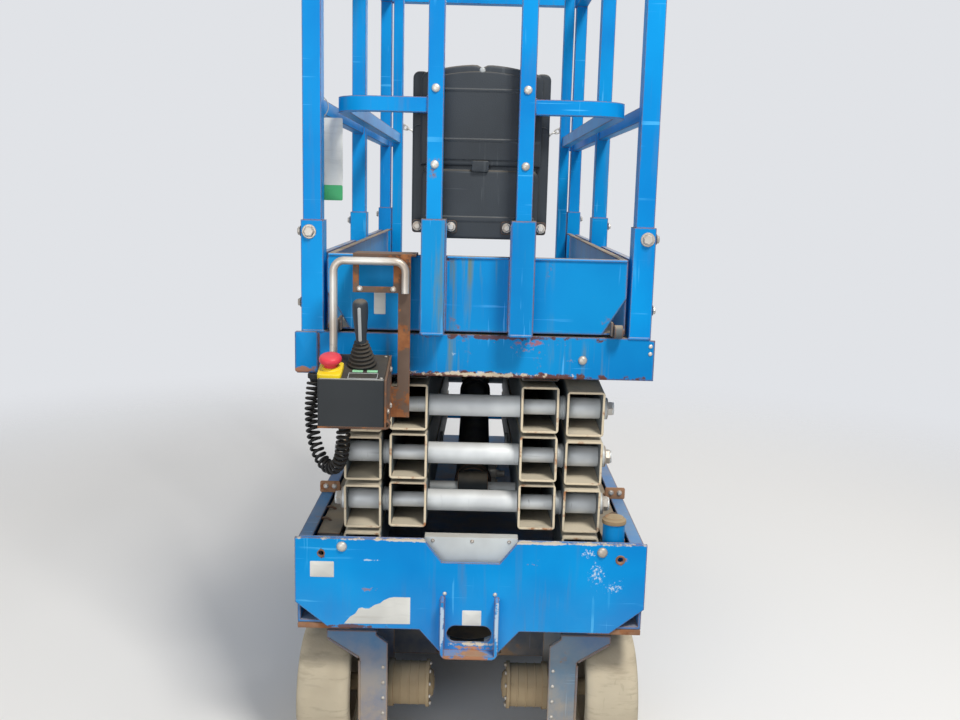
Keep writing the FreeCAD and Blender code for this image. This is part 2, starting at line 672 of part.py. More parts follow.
def front_plate():
    """Front plate with its notch, tongue, tie-down holes and the strap round its towing slot."""
    half = [
        (s.notch_foot_half, s.notch_foot), (s.notch_half, s.plate_top), (s.plate_half, s.plate_top),
        (s.plate_half, s.plate_shoulder), (s.plate_foot_half, s.plate_foot),
        (s.tab_half + s.tab_flare, s.plate_foot), (s.tab_half, s.tab_foot),
    ]
    loop = half + [(-u, v) for u, v in reversed(half)]
    holes = [(side * s.tie_hole_side, s.tie_hole_height, s.tie_hole) for side in (-1, 1)]
    plate = prism("FrontPlate", "XZ_Plane", [loop], s.plate_thick, holes)
    corners = [(side * s.slot_half, s.slot_height + up * s.slot_radius) for side in (-1, 1) for up in (-1, 1)]
    slot = [corners[0], corners[2], corners[3], corners[1]]
    sketch = outline_sketch(plate, "TowSlot", "XZ_Plane", [slot])
    pocket = plate.newObject("PartDesign::Pocket", "TowSlotPocket")
    pocket.Profile = sketch
    pocket.Type = "ThroughAll"
    pocket.Midplane = True
    pockets.append((plate, pocket))
    round_edges(plate, "TowSlot", s.slot_radius - 0.5, corners, "y")
    place(plate, 0, station(s.plate_thick - s.front_face), 0)
    strap_in = s.strap_half - s.strap_thick
    loop = [
        (-s.strap_half, s.strap_top), (-s.strap_half, s.strap_foot), (s.strap_half, s.strap_foot),
        (s.strap_half, s.strap_top), (strap_in, s.strap_top), (strap_in, s.strap_foot + s.strap_thick),
        (-strap_in, s.strap_foot + s.strap_thick), (-strap_in, s.strap_top),
    ]
    strap = prism("TowStrap", "XZ_Plane", [loop], s.strap_deep)
    bends = [(side * s.strap_half, s.strap_foot) for side in (-1, 1)]
    round_edges(strap, "TowStrap", s.strap_thick * 2, bends, "y")
    place(strap, 0, station(-s.front_face), 0)
    return node("front_plate", fuse("FrontPlateWelded", [plate, strap]))


def inner_guard():
    """Pale plate that closes the tub behind the front plate's notch."""
    back = -s.front_face + s.plate_thick + s.wall * 3
    face = box("GuardFace", (-s.notch_half, s.notch_half), (back - s.wall / 2, back),
               (s.floor_top, s.plate_top))
    fold = box("GuardFold", (-s.notch_half, s.notch_half), (back, back + s.wall * 4),
               (s.plate_top - s.wall / 2, s.plate_top))
    return node("inner_guard", fuse("InnerGuard", [face, fold]))


def front_wheels_gear():
    """Steering yokes, their king pins and steering arms, wheel motors and the tie rod."""
    leg = s.yoke_out - s.yoke_in
    wing_low = s.yoke_top - s.yoke_plate
    cheek_loop = [
        (s.yoke_in, s.yoke_foot), (s.yoke_out, s.yoke_foot),
        (s.yoke_out, s.wheel_radius * 2 - s.yoke_plate * 3.6), (s.yoke_wing, wing_low - s.yoke_plate * 0.9),
        (s.yoke_wing, wing_low), (s.yoke_in + leg * 0.4, wing_low), (s.yoke_in, wing_low - leg * 0.3),
    ]
    cheeks = []
    for name, back in (("Front", s.front_axle - s.yoke_half + s.yoke_plate), ("Back", s.front_axle + s.yoke_half)):
        cheek = prism(f"YokeCheek{name}", "XZ_Plane", [cheek_loop], s.yoke_plate)
        place(cheek, 0, station(back), 0)
        cheeks.append(cheek)
    web = box("YokeWeb", (s.yoke_out - s.yoke_plate, s.yoke_out),
              (s.front_axle - s.yoke_half, s.front_axle + s.yoke_half), (s.yoke_foot, wing_low))
    bore = bar("YokeBore", "X", (s.yoke_out - s.yoke_plate - 1, s.front_axle, s.wheel_radius),
               s.spindle_radius + s.pin_play, s.yoke_plate + 2)
    web = cut("YokeWebCut", web, [bore])
    roof = box("YokeRoof", (s.yoke_in + leg * 0.4, s.yoke_wing),
               (s.front_axle - s.yoke_half, s.front_axle + s.yoke_half), (wing_low, s.yoke_top))
    king = bar("KingPin", "Z", (s.king_side, s.front_axle, wing_low), s.king_radius, s.floor_top + s.wall - wing_low)
    thrust = bar("KingThrust", "Z", (s.king_side, s.front_axle, s.yoke_top), s.king_radius + s.yoke_plate,
                 s.beam_foot - s.yoke_top - s.face_play)
    pin_y = s.front_axle + s.tie_rod_back
    arm = box("SteerArm", (s.king_side - s.tie_boss, s.king_side + s.tie_boss),
              (s.front_axle + s.yoke_half, pin_y), (wing_low, s.yoke_top))
    arm_end = bar("SteerArmEnd", "Z", (s.king_side, pin_y, wing_low), s.tie_boss, s.yoke_plate)
    boss = bar("SteerArmBoss", "Z", (s.king_side, pin_y, s.yoke_top), s.tie_boss,
               s.tie_rod_height - s.tie_rod_radius - s.yoke_top - s.face_play)
    ball_pin = bar("SteerArmPin", "Z", (s.king_side, pin_y, s.yoke_top), s.tie_pin,
                   s.tie_rod_height + s.tie_rod_radius * 1.5 - s.yoke_top)
    yoke = fuse("SteerYokeRight", cheeks + [web, roof, king, thrust, arm, arm_end, boss, ball_pin])
    neck = s.spindle_radius
    reach = s.tyre_outside - s.disc_inset + s.hub_proud - 2
    motor = turned("DriveMotorRight", [
        (s.motor_in, 0), (s.motor_in, s.motor_radius * 0.55), (s.motor_in + 8, s.motor_radius * 0.62),
        (s.motor_in + 8, s.motor_radius), (s.motor_in + 16, s.motor_radius),
        (s.motor_in + 16, s.motor_radius - 5), (s.yoke_in - 8, s.motor_radius - 5),
        (s.yoke_in - 8, s.motor_radius), (s.yoke_in + 4, s.motor_radius),
        (s.yoke_in + 4, s.motor_radius * 0.7), (s.yoke_out - s.yoke_plate, s.motor_radius * 0.7),
        (s.yoke_out - s.yoke_plate, neck), (s.yoke_out + s.face_play, neck),
        (s.yoke_out + s.face_play, s.flange_radius), (s.yoke_out + s.flange_thick, s.flange_radius),
        (s.yoke_out + s.flange_thick, neck), (reach, neck), (reach, 0),
    ])
    place(motor, 0, station(s.front_axle), s.wheel_radius)
    node("steer_yoke_left", mirror(yoke))
    node("steer_yoke_right", yoke)
    node("drive_motor_left", mirror(motor))
    node("drive_motor_right", motor)
    rod = bar("TieRodBar", "X", (-s.king_side, pin_y, s.tie_rod_height), s.tie_rod_radius * 0.8, s.king_side * 2)
    ends, eyes = [], []
    for name, side, play in (("Left", -1, s.pin_play), ("Right", 1, s.open_play)):
        foot = s.tie_rod_height - s.tie_rod_radius
        ends.append(bar(f"TieRodEnd{name}", "Z", (side * s.king_side, pin_y, foot), s.tie_boss, s.tie_rod_radius * 2))
        eyes.append(bar(f"TieRodEye{name}", "Z", (side * s.king_side, pin_y, foot - 1), s.tie_pin + play,
                        s.tie_rod_radius * 2 + 2))
    return node("tie_rod", cut("TieRod", fuse("TieRodWelded", [rod] + ends), eyes))


def rear_axle():
    """Square rear axle with its spindles and hangers."""
    beam = box("RearAxleBeam", (-s.yoke_out, s.yoke_out), (s.rear_axle - s.axle_half, s.rear_axle + s.axle_half),
               (s.wheel_radius - s.axle_half, s.wheel_radius + s.axle_half))
    reach = s.tyre_outside - s.disc_inset + s.hub_proud - 2
    spindle = bar("RearSpindle", "X", (-reach, s.rear_axle, s.wheel_radius), s.spindle_radius, reach * 2)
    hanger = prism("RearHanger", "YZ_Plane", [[
        (s.rear_axle - s.axle_half * 2.4, s.floor_top - s.wall), (s.rear_axle - s.axle_half, s.wheel_radius - s.axle_half),
        (s.rear_axle + s.axle_half, s.wheel_radius - s.axle_half),
        (s.rear_axle + s.axle_half * 2.4, s.floor_top - s.wall),
    ]], s.pivot_plate)
    place(hanger, s.yoke_in, station(0), 0)
    return node("rear_axle", fuse("RearAxle", [beam, spindle, hanger, mirror(hanger)]))


def wheels():
    """Tyres and rims, front and rear, left and right."""
    outside, inside = s.tyre_outside, tyre_inside
    tyre_profile = [
        (inside, s.rim_radius), (inside, s.wheel_radius - s.shoulder_deep), (inside + s.shoulder_side, s.wheel_radius),
        (outside - s.shoulder_side, s.wheel_radius), (outside, s.wheel_radius - s.shoulder_deep),
        (outside, s.rim_radius),
    ]
    seat = s.rim_radius - s.rim_play
    barrel = seat - s.rim_wall
    disc_out = outside - s.disc_inset
    disc_in = disc_out - s.disc_thick
    bore = s.spindle_radius + s.pin_play
    rim_profile = [
        (inside + 4, seat), (inside + 4, barrel), (disc_in, barrel), (disc_in, s.hub_radius),
        (disc_in - s.disc_thick, s.hub_radius), (disc_in - s.disc_thick, bore), (disc_out + s.hub_proud, bore),
        (disc_out + s.hub_proud, s.hub_radius * 0.8), (disc_out, s.hub_radius), (disc_out, barrel),
        (outside - 4, barrel), (outside - 4, seat),
    ]
    for end, along in (("front", s.front_axle), ("rear", s.rear_axle)):
        tyre = turned(f"Tyre{end.title()}Right", tyre_profile)
        rim = turned(f"Rim{end.title()}Right", rim_profile)
        for piece in (tyre, rim):
            place(piece, 0, station(along), s.wheel_radius)
        for kind, piece in (("tyre", tyre), ("rim", rim)):
            node(f"{kind}_{end}_right", piece)
            node(f"{kind}_{end}_left", mirror(piece))


def trays():
    """Swing-out battery and hydraulic trays, hinged at their rear outer corners."""
    skin = s.chassis_half - s.wall
    cover = box("TrayCover", (skin, s.chassis_half), (s.tray_front, s.tray_back), (s.tray_foot, s.tray_top))
    grip_front = s.tray_floor_front + s.grip_inset
    grip_top = s.tray_top - s.grip_drop
    grip = box("TrayGrip", (skin - 1, s.chassis_half + 1), (grip_front, grip_front + s.grip_long),
               (grip_top - s.grip_tall, grip_top))
    cover = cut("TrayCoverCut", cover, [grip])
    sole = box("TraySole", (s.tray_in, skin), (s.tray_floor_front, s.tray_back),
               (s.tray_foot, s.tray_foot + s.wall))
    ends = [box(f"TrayEnd{name}", (s.tray_in, skin), (low, low + s.wall), (s.tray_foot + s.wall, s.tray_top - s.tray_lip))
            for name, low in (("Front", s.tray_floor_front), ("Rear", s.tray_back - s.wall))]
    hinge_side = s.chassis_half - s.hinge_radius
    hinge_low = s.tray_foot + s.hinge_lug + s.face_play
    hinge_tall = s.tray_top - s.tray_foot - s.hinge_lug * 2 - s.face_play * 2
    hinge = bar("TrayHinge", "Z", (hinge_side, s.hinge_back, hinge_low), s.hinge_radius, hinge_tall)
    leaf = box("TrayLeaf", (skin, hinge_side + s.hinge_radius * 0.8), (s.tray_back, s.hinge_back),
               (hinge_low, hinge_low + hinge_tall))
    pin_hole = bar("TrayHingeHole", "Z", (hinge_side, s.hinge_back, hinge_low - 1), s.hinge_pin + s.pin_play,
                   hinge_tall + 2)
    tray = cut("HydraulicTray", fuse("TrayWelded", [cover, sole, hinge, leaf] + ends), [pin_hole])
    node("hydraulic_tray", tray)
    node("battery_tray", mirror(tray))
    tray_floor = s.tray_foot + s.wall
    bay = s.tray_back - s.tray_floor_front - s.wall * 2
    count = 4
    pitch = bay / count
    gap = s.cell_gap
    case_top = s.tray_top - s.cell_drop
    lid_top = case_top + s.lid_tall
    cells = []
    for i in range(count):
        start = s.tray_floor_front + s.wall + pitch * i + gap
        end = start + pitch - gap * 2
        case = box(f"Battery{i}", (-(skin - gap), -(s.tray_in + gap)), (start, end), (tray_floor, case_top))
        lid = box(f"BatteryLid{i}", (-(skin - gap * 2), -(s.tray_in + gap * 2)), (start + gap, end - gap),
                  (case_top, lid_top))
        posts = [bar(f"BatteryPost{i}{name}", "Z", (-(s.tray_in + gap * 5), along, lid_top), s.post_radius, s.post_tall)
                 for name, along in (("Front", start + gap * 4), ("Rear", end - gap * 4))]
        cells.append(fuse(f"BatteryCell{i}", [case, lid] + posts))
    node("batteries", group("Batteries", cells))
    tank_front = s.tray_floor_front + s.grip_inset
    motor_back = s.tray_back - s.wall - s.pump_gap
    block_back = motor_back - s.pump_long
    tank_back = block_back - s.pump_block
    tank_top = s.tray_top - s.tank_drop
    pump_in = s.tray_in + s.tank_drop
    tank = box("OilTank", (s.tray_in + gap, skin - gap), (tank_front, tank_back), (tray_floor, tank_top))
    cap = bar("OilCap", "Z", (s.tray_in + s.tank_cap * 4, tank_front + s.tank_cap * 3, tank_top), s.tank_cap, s.post_tall)
    manifold = box("PumpBlock", (pump_in, pump_in + s.pump_wide), (tank_back, block_back),
                   (tray_floor, s.tray_foot + s.pump_tall))
    motor = bar("PumpMotor", "Y", (pump_in + s.pump_wide / 2, block_back, tray_floor + s.pump_radius + gap * 3),
                s.pump_radius, s.pump_long)
    node("hydraulic_unit", fuse("HydraulicUnit", [tank, cap, manifold, motor]))


def pothole_guards():
    """Bars that drop beneath the trays when the platform is raised."""
    wide = (s.guard_in, s.guard_in + s.side_flange)
    start = s.bay_front + s.wall + s.guard_play
    end = s.bay_back - s.wall - s.guard_play
    guard = box("PotholeGuardRight", wide, (start, end), (s.guard_foot, s.guard_top))
    node("pothole_guard_right", guard)
    node("pothole_guard_left", mirror(guard))


def ladder():
    """Entry ladder on the chassis' rear plate."""
    rail_side = s.spine_half * 2
    tube = s.entry_post
    top = s.deck_height - s.beam_tall - tube
    foot = s.spine_foot * 2
    uprights = [box(f"LadderRail{name}", low, (s.ladder_reach - tube, s.ladder_reach), (foot, top))
                for name, low in (("Left", (-rail_side - tube, -rail_side)), ("Right", (rail_side, rail_side + tube)))]
    rungs = []
    count = 4
    for i in range(count):
        height = foot + tube + (top - foot - tube * 2) / (count - 1) * i
        rungs.append(box(f"LadderRung{i}", (-rail_side, rail_side), (s.ladder_reach - tube, s.ladder_reach),
                         (height - tube / 2, height + tube / 2)))
    stays = []
    for i, height in enumerate((foot + tube, s.floor_top - tube)):
        for name, side in (("Left", -1), ("Right", 1)):
            low = rail_side if side > 0 else -rail_side - tube
            stays.append(box(f"LadderStay{name}{i}", (low, low + tube), (s.chassis_back, s.ladder_reach - tube),
                             (height - tube / 2, height + tube / 2)))
    return node("ladder", fuse("Ladder", uprights + rungs + stays))


def arm_tube(name, inside, bores, rising, row, round_end=None):
    """One rectangular scissor tube with its bores, laid at the stack's stowed tilt.

    bores are (distance forward from the rear pin, radius). rising is 1 where the
    front end is the high one, and round_end the distance of a pin whose end is round.
    """
    outside = inside + s.arm_wide
    half = s.arm_tall / 2
    corners = rectangle((inside, outside), (-half, half))
    hollow = rectangle((inside + s.arm_wall, outside - s.arm_wall), (-half + s.arm_wall, half - s.arm_wall))
    body = doc.addObject("PartDesign::Body", name)
    sketch = outline_sketch(body, name + "Section", "XZ_Plane", [corners, hollow])
    bind(sketch, "AttachmentOffset.Base.z", -s.arm_end)
    pad = body.newObject("PartDesign::Pad", name + "Pad")
    pad.Profile = sketch
    bind(pad, "Length", s.arm_long + s.arm_end * 2)
    round_edges(body, name, s.arm_round, corners, "y")
    drill(body, name, "YZ_Plane", (), [(-along, 0, radius) for along, radius in bores])
    piece = body
    if round_end is not None:
        piece = rounded(name, body, round_end, inside)
    piece.Placement = FreeCAD.Placement(FreeCAD.Vector(), FreeCAD.Rotation(FreeCAD.Vector(1, 0, 0), 1))
    bind(piece, "Placement.Rotation.Angle", -rising * tilt)
    place(piece, 0, station(rear_pin), pin_height(row))
    return piece


def rounded(name, body, along, inside):
    """A tube kept inside an envelope whose end is round about a pin."""
    half = s.arm_tall / 2
    at_front = as_dim(along).value > 0
    stretch = s.arm_long + s.arm_end
    envelope = doc.addObject("Part::Box", name + "Envelope")
    bind(envelope, "Length", s.arm_wide)
    bind(envelope, "Width", stretch)
    bind(envelope, "Height", s.arm_tall)
    bind(envelope, "Placement.Base.x", inside)
    bind(envelope, "Placement.Base.y", -s.arm_long if at_front else -stretch)
    bind(envelope, "Placement.Base.z", -half)
    end = doc.addObject("Part::Cylinder", name + "EnvelopeEnd")
    end.Placement = FreeCAD.Placement(FreeCAD.Vector(), FreeCAD.Rotation(*TURNS["X"]))
    bind(end, "Radius", half)
    bind(end, "Height", s.arm_wide)
    bind(end, "Placement.Base.x", inside)
    bind(end, "Placement.Base.y", -as_dim(along))
    common = doc.addObject("Part::MultiCommon", name + "RoundEnd")
    common.Shapes = [body, fuse(name + "Shape", [envelope, end])]
    return common


def scissor_arms():
    """Inner arms rise to the front and outer arms to the rear, joined at ends and middle."""
    fixed = s.pin_radius + s.pin_play
    loose = s.pin_radius + s.open_play
    centre = s.arm_long / 2
    for level in range(1, LEVELS + 1):
        top = level == LEVELS
        inner = arm_tube(f"InnerArm{level}", s.inner_gap, [(0, fixed), (centre, fixed), (s.arm_long, fixed)],
                         1, level - 1, s.arm_long if top else None)
        pieces = [inner, mirror(inner)]
        if level == 3:
            pieces += eye_bracket(level)
            node(f"inner_arm_{level}", fuse(f"InnerArms{level}", pieces))
        else:
            node(f"inner_arm_{level}", group(f"InnerArms{level}", pieces))
        outer = arm_tube(f"OuterArm{level}", outer_in, [(0, fixed), (centre, fixed), (s.arm_long, loose if level > 1 else fixed)],
                         -1, level, as_dim(0) if top else None)
        node(f"outer_arm_{level}", pair(f"OuterArms{level}", outer))
        arm_pins(level)
    axle = bar("LowSlideAxle", "X", (-block_out, s.front_pin, s.low_pin), s.pin_radius, block_out * 2)
    rollers = slide_roller("LowSlideRoller", s.low_pin)
    node("low_slide_pin", fuse("LowSlidePin", [axle] + rollers))


def slide_roller(name, height):
    """Flanged roller at each end of a slide pin."""
    rim = s.track_play / 2
    roller = turned(name, [
        (block_in, 0), (block_in, s.block_half - rim), (block_in + rim, s.block_half),
        (block_out - rim, s.block_half), (block_out, s.block_half - rim), (block_out, 0),
    ])
    place(roller, 0, station(s.front_pin), height)
    return [roller, mirror(roller)]


def stepped(name, steps):
    """A turned pin, the same both sides of the middle; steps are (half length, radius)."""
    half = []
    for reach, radius in steps:
        if half:
            half.append((half[-1][0], radius))
        else:
            half.append((as_dim(0), radius))
        half.append((reach, radius))
    right = half[1:] + [(half[-1][0], as_dim(0))]
    return turned(name, right + [(-along, out) for along, out in reversed(right)])


def arm_pins(level):
    """Silver pins of one level: rear and front cross pins and the two short middle pins."""
    sleeve_end = s.inner_gap - s.face_play
    washer_in, washer_out = inner_out + s.face_play, outer_in - s.face_play
    cap_in = outer_out + s.face_play
    bare = s.pin_radius
    through = [(sleeve_end, s.sleeve_radius), (washer_in, bare), (washer_out, s.washer_radius)]
    cap_out = cap_in + s.pin_cap
    nut_out = cap_out + s.pin_nut
    capped = through + [(cap_in, bare), (cap_out, s.sleeve_radius), (nut_out, s.nut_radius)]
    rear = stepped(f"RearPin{level}", capped if level > 1 else through + [(block_in + s.pivot_plate, bare)])
    place(rear, 0, station(rear_pin), pin_height(level - 1))
    front = stepped(f"FrontPin{level}", capped if level < LEVELS else through + [(block_out, bare)])
    place(front, 0, station(s.front_pin), pin_height(level))
    pieces = [rear]
    if level < LEVELS:
        pieces.append(front)
    else:
        pieces.append(fuse("HighSlidePin", [front] + slide_roller("HighSlideRoller", pin_height(level))))
    head = s.inner_gap - s.pin_cap
    middle_pin = turned(f"MiddlePin{level}", [
        (head, 0), (head, s.washer_radius), (sleeve_end, s.washer_radius), (sleeve_end, bare),
        (washer_in, bare), (washer_in, s.washer_radius), (washer_out, s.washer_radius), (washer_out, bare),
        (cap_in, bare), (cap_in, s.sleeve_radius), (cap_out, s.sleeve_radius), (cap_out, s.nut_radius),
        (nut_out, s.nut_radius), (nut_out, 0),
    ])
    place(middle_pin, 0, station((s.front_pin + rear_pin) / 2), (pin_height(level - 1) + pin_height(level)) / 2)
    pieces += [middle_pin, mirror(middle_pin)]
    return node(f"arm_pins_{level}", group(f"ArmPins{level}", pieces))


def along_arm(level, distance, drop=0):
    """Station and height of a place on an inner arm, measured forward from its rear pin."""
    y = rear_pin - distance * cosine(tilt) + drop * -1 * sine(tilt)
    z = pin_height(level - 1) + distance * sine(tilt) - drop * cosine(tilt)
    return y, z


def eye_bracket(level):
    """Cross tube and ears on the third inner arm that take the rod's eye."""
    y, z = along_arm(level, s.eye_pin)
    eye_y, eye_z = along_arm(level, s.eye_pin, s.eye_drop)
    tube = bar("EyeCrossTube", "X", (-s.inner_gap, y, z), s.eye_tube, s.inner_gap * 2)
    ear_in = s.eye_wide / 2 + s.ear_gap
    ears = []
    plate = prism("EyeEar", "YZ_Plane", [[
        (y - s.eye_tube * 1.6, z), (eye_y - s.cylinder_pin * 1.6, eye_z - s.cylinder_pin * 1.2),
        (eye_y + s.cylinder_pin * 1.6, eye_z - s.cylinder_pin * 1.2), (y + s.eye_tube * 1.6, z),
    ]], s.ear_thick)
    place(plate, ear_in, station(0), 0)
    stub = bar("EyeStub", "X", (ear_in - s.ear_gap / 2, eye_y, eye_z), s.cylinder_pin, s.ear_thick + s.ear_gap * 2)
    for piece in (plate, stub):
        ears += [piece, mirror(piece)]
    return [tube] + ears


def lift_cylinder():
    """Lift cylinder from the first inner arm to the third, lying in the middle of the stack."""
    base_y, base_z = along_arm(1, s.base_pin)
    eye_y, eye_z = along_arm(3, s.eye_pin, s.eye_drop)
    rise, run = eye_z - base_z, eye_y - base_y
    slope = turn_of(rise, run)
    length = root(rise * rise + run * run)
    bore_foot = s.base_eye_radius + s.wall * 2
    s.barrel_long = length - s.eye_radius - s.gland_gap
    s.rod_long = length - bore_foot - s.rod_inset
    pin = bar("BasePin", "X", (-s.inner_gap, base_y, base_z), s.cylinder_pin, s.inner_gap * 2)
    node("cylinder_base_pin", pin)

    def lay(piece):
        turned_piece = FreeCAD.Rotation(FreeCAD.Vector(1, 0, 0), 1)
        piece.Placement = FreeCAD.Placement(FreeCAD.Vector(), turned_piece)
        bind(piece, "Placement.Rotation.Angle", slope)
        place(piece, 0, station(base_y), base_z)

    def local_bar(name, start, radius, reach):
        piece = doc.addObject("Part::Cylinder", name)
        piece.Placement = FreeCAD.Placement(FreeCAD.Vector(), FreeCAD.Rotation(*TURNS["Y"]))
        bind(piece, "Radius", radius)
        bind(piece, "Height", reach)
        bind(piece, "Placement.Base.y", start)
        return piece

    def local_eye(name, along, radius, wide):
        piece = doc.addObject("Part::Cylinder", name)
        piece.Placement = FreeCAD.Placement(FreeCAD.Vector(), FreeCAD.Rotation(*TURNS["X"]))
        bind(piece, "Radius", radius)
        bind(piece, "Height", wide)
        bind(piece, "Placement.Base.x", -as_dim(wide) / 2)
        bind(piece, "Placement.Base.y", along)
        return piece

    bore = s.rod_radius + s.pin_play
    tube = local_bar("BarrelTube", s.base_eye_radius * 0.6, s.barrel_radius, s.barrel_long - s.base_eye_radius * 0.6)
    gland = local_bar("BarrelGland", s.barrel_long - 46, s.barrel_radius + 5, 46)
    lug = local_eye("BarrelLug", 0, s.base_eye_radius, s.eye_wide * 1.4)
    shell = fuse("BarrelShell", [tube, gland, lug])
    hollow = local_bar("BarrelHollow", bore_foot, bore, s.barrel_long)
    pin_hole = local_eye("BarrelPinHole", 0, s.cylinder_pin + s.pin_play, s.eye_wide * 2)
    barrel = cut("LiftBarrel", shell, [hollow, pin_hole])
    lay(barrel)
    node("lift_barrel", barrel)
    stem = local_bar("RodStem", length - s.rod_long, s.rod_radius, s.rod_long)
    eye = local_eye("RodEye", length, s.eye_radius, s.eye_wide)
    eye_hole = local_eye("RodEyeHole", length, s.cylinder_pin + s.pin_play, s.eye_wide * 2)
    rod = cut("LiftRod", fuse("RodShape", [stem, eye]), [eye_hole])
    lay(rod)
    node("lift_rod", rod)


def platform_deck():
    """Main deck: sheet, edge beams, slide tracks and the rear pivots of the stack."""
    half, back = s.deck_half, s.deck_long
    deck = box("DeckSheet", (-half, half), (0, back), (deck_low, s.deck_height))
    front = box("DeckFrontBeam", (-half - s.beam_ends, half + s.beam_ends), (0, s.beam_thick), (beam_low, deck_low))
    rear = box("DeckRearBeam", (-half, half), (back - s.beam_thick, back), (beam_low, deck_low))
    web = half - s.side_web
    flange = half - s.side_flange
    side = prism("DeckSideBeam", "XZ_Plane", [[
        (flange, beam_low), (half, beam_low), (half, deck_low), (web, deck_low),
        (web, beam_low + s.side_web), (flange, beam_low + s.side_web),
    ]], back - s.beam_thick * 2)
    place(side, 0, station(back - s.beam_thick), 0)
    track = channel("DeckTrack", pin_height(LEVELS), deck_low, 1)
    height = pin_height(LEVELS)
    plate = prism("DeckPivot", "YZ_Plane", [[
        (rear_pin - s.arm_end, deck_low), (rear_pin - s.block_half, height - s.sleeve_radius * 1.4),
        (rear_pin + s.block_half, height - s.sleeve_radius * 1.4), (rear_pin + s.block_half * 1.6, deck_low),
    ]], s.pivot_plate)
    place(plate, block_in, station(0), 0)
    stub = bar("DeckPivotPin", "X", (inner_out + s.arm_gap / 2, rear_pin, height), s.pin_radius,
               block_in + s.pivot_plate + 6 - inner_out - s.arm_gap / 2)
    sided = [side, track, plate, stub]
    return node("platform_deck", fuse("PlatformDeck", [deck, front, rear] + sided + [mirror(p) for p in sided]))


def main_rails():
    """Side guard rails with their posts, sockets and toe boards."""
    wide = s.post_wide
    wall = s.socket_wall
    outside = s.deck_half - wall
    inside = outside - wide
    centre = outside - wide / 2
    socket_top = s.deck_height + s.socket_tall
    ends = {"Front": (as_dim(0) + wall, wall + wide), "Middle": (s.rear_post_back / 2 - wide / 2, s.rear_post_back / 2 + wide / 2),
            "Rear": (s.rear_post_back - wide - wall, s.rear_post_back - wall)}
    pieces = []
    for name, (low, high) in ends.items():
        pieces.append(box(f"Post{name}", (inside, outside), (low, high), (s.deck_height, rail_top - wide)))
        pieces.append(box(f"Socket{name}", (inside - wall, s.deck_half), (low - wall, high + wall),
                          (s.deck_height, socket_top)))
    top = (rail_top - wide, rail_top)
    mid = (mid_top - s.mid_tall, mid_top)
    pieces.append(box("SideTopRail", (inside, outside), (ends["Front"][0], ends["Rear"][1]), top))
    pieces.append(box("SideMidRail", (centre - s.mid_wide / 2, centre + s.mid_wide / 2),
                      (ends["Front"][1], ends["Rear"][0]), mid))
    toe_x = (s.deck_half - s.toe_thick, s.deck_half)
    toe_top = s.deck_height + s.toe_tall
    pieces.append(box("SideToe", toe_x, (ends["Front"][1], ends["Rear"][0]), (s.deck_height, toe_top)))
    pieces.append(box("SideToeFlange", (s.deck_half - s.toe_flange, s.deck_half - s.toe_thick),
                      (ends["Front"][1], ends["Rear"][0]), (toe_top - s.toe_thick, toe_top)))
    rails = fuse("MainRailsRight", pieces)
    node("main_rails_right", rails)
    node("main_rails_left", mirror(rails))


def entry_arch():
    """Rear arch over the entry, tied to the side rails, with half toe boards beside the opening."""
    tube = s.entry_post
    wide = s.post_wide
    inside = s.deck_half - s.socket_wall - wide
    low, high = s.rear_post_back - s.socket_wall - wide, s.rear_post_back - s.socket_wall
    top = box("ArchTop", (-inside, inside), (low, high), (rail_top - wide, rail_top))
    y = (high - tube, high)
    post = box("ArchPost", (s.entry_half, s.entry_half + tube), y, (s.deck_height, rail_top - wide))
    tie = box("ArchTie", (s.entry_half + tube, inside), y, (mid_top - s.mid_tall, mid_top))
    toe = box("ArchToe", (s.entry_half + tube, inside - s.socket_wall), (high - s.toe_thick, high),
              (s.deck_height, s.deck_height + s.toe_tall))
    return node("entry_arch", fuse("EntryArch", [top, post, tie, toe, mirror(post), mirror(tie), mirror(toe)]))


def extension_deck():
    """Sliding deck with its toe boards and the sockets of its front posts."""
    sheet_low = s.deck_height + s.ext_lift
    sheet_top = sheet_low + s.deck_sheet
    deck = box("ExtSheet", (-s.ext_half, s.ext_half), (s.toe_thick, s.ext_long), (sheet_low, sheet_top))
    strip = box("ExtRunner", (s.ext_half - s.side_flange, s.ext_half), (s.side_flange, s.ext_long),
                (s.deck_height + s.face_play, sheet_low))
    front = prism("ExtFrontToe", "XZ_Plane", [[
        (-s.ext_toe_low_half, sheet_low), (s.ext_toe_low_half, sheet_low),
        (s.ext_half, sheet_low + s.ext_toe_slope), (s.ext_half, s.ext_toe_top), (-s.ext_half, s.ext_toe_top),
        (-s.ext_half, sheet_low + s.ext_toe_slope),
    ]], s.toe_thick)
    place(front, 0, station(s.toe_thick), 0)
    lip = box("ExtFrontLip", (-s.ext_half, s.ext_half), (s.toe_thick, s.toe_flange),
              (s.ext_toe_top - s.toe_thick, s.ext_toe_top))
    side = box("ExtSideToe", (s.ext_half - s.toe_thick, s.ext_half), (s.toe_thick, s.ext_long),
               (sheet_top, s.ext_toe_top))
    flange = box("ExtSideFlange", (s.ext_half - s.toe_flange, s.ext_half - s.toe_thick),
                 (s.toe_flange, s.ext_long), (s.ext_toe_top - s.toe_thick, s.ext_toe_top))
    half = s.ext_socket / 2
    socket = box("ExtSocket", (s.ext_post_centre - half, s.ext_post_centre + half),
                 (-s.ext_socket, 0), (sheet_low, s.ext_socket_top))
    hole = box("ExtSocketHole", (s.ext_post_centre - s.ext_post / 2, s.ext_post_centre + s.ext_post / 2),
               (-half - s.ext_post / 2, -half + s.ext_post / 2), (sheet_low + 6, s.ext_socket_top + 1))
    socket = cut("ExtSocketCut", socket, [hole])
    sided = [strip, side, flange, socket]
    return node("extension_deck", fuse("ExtensionDeck", [deck, front, lip] + sided + [mirror(p) for p in sided]))


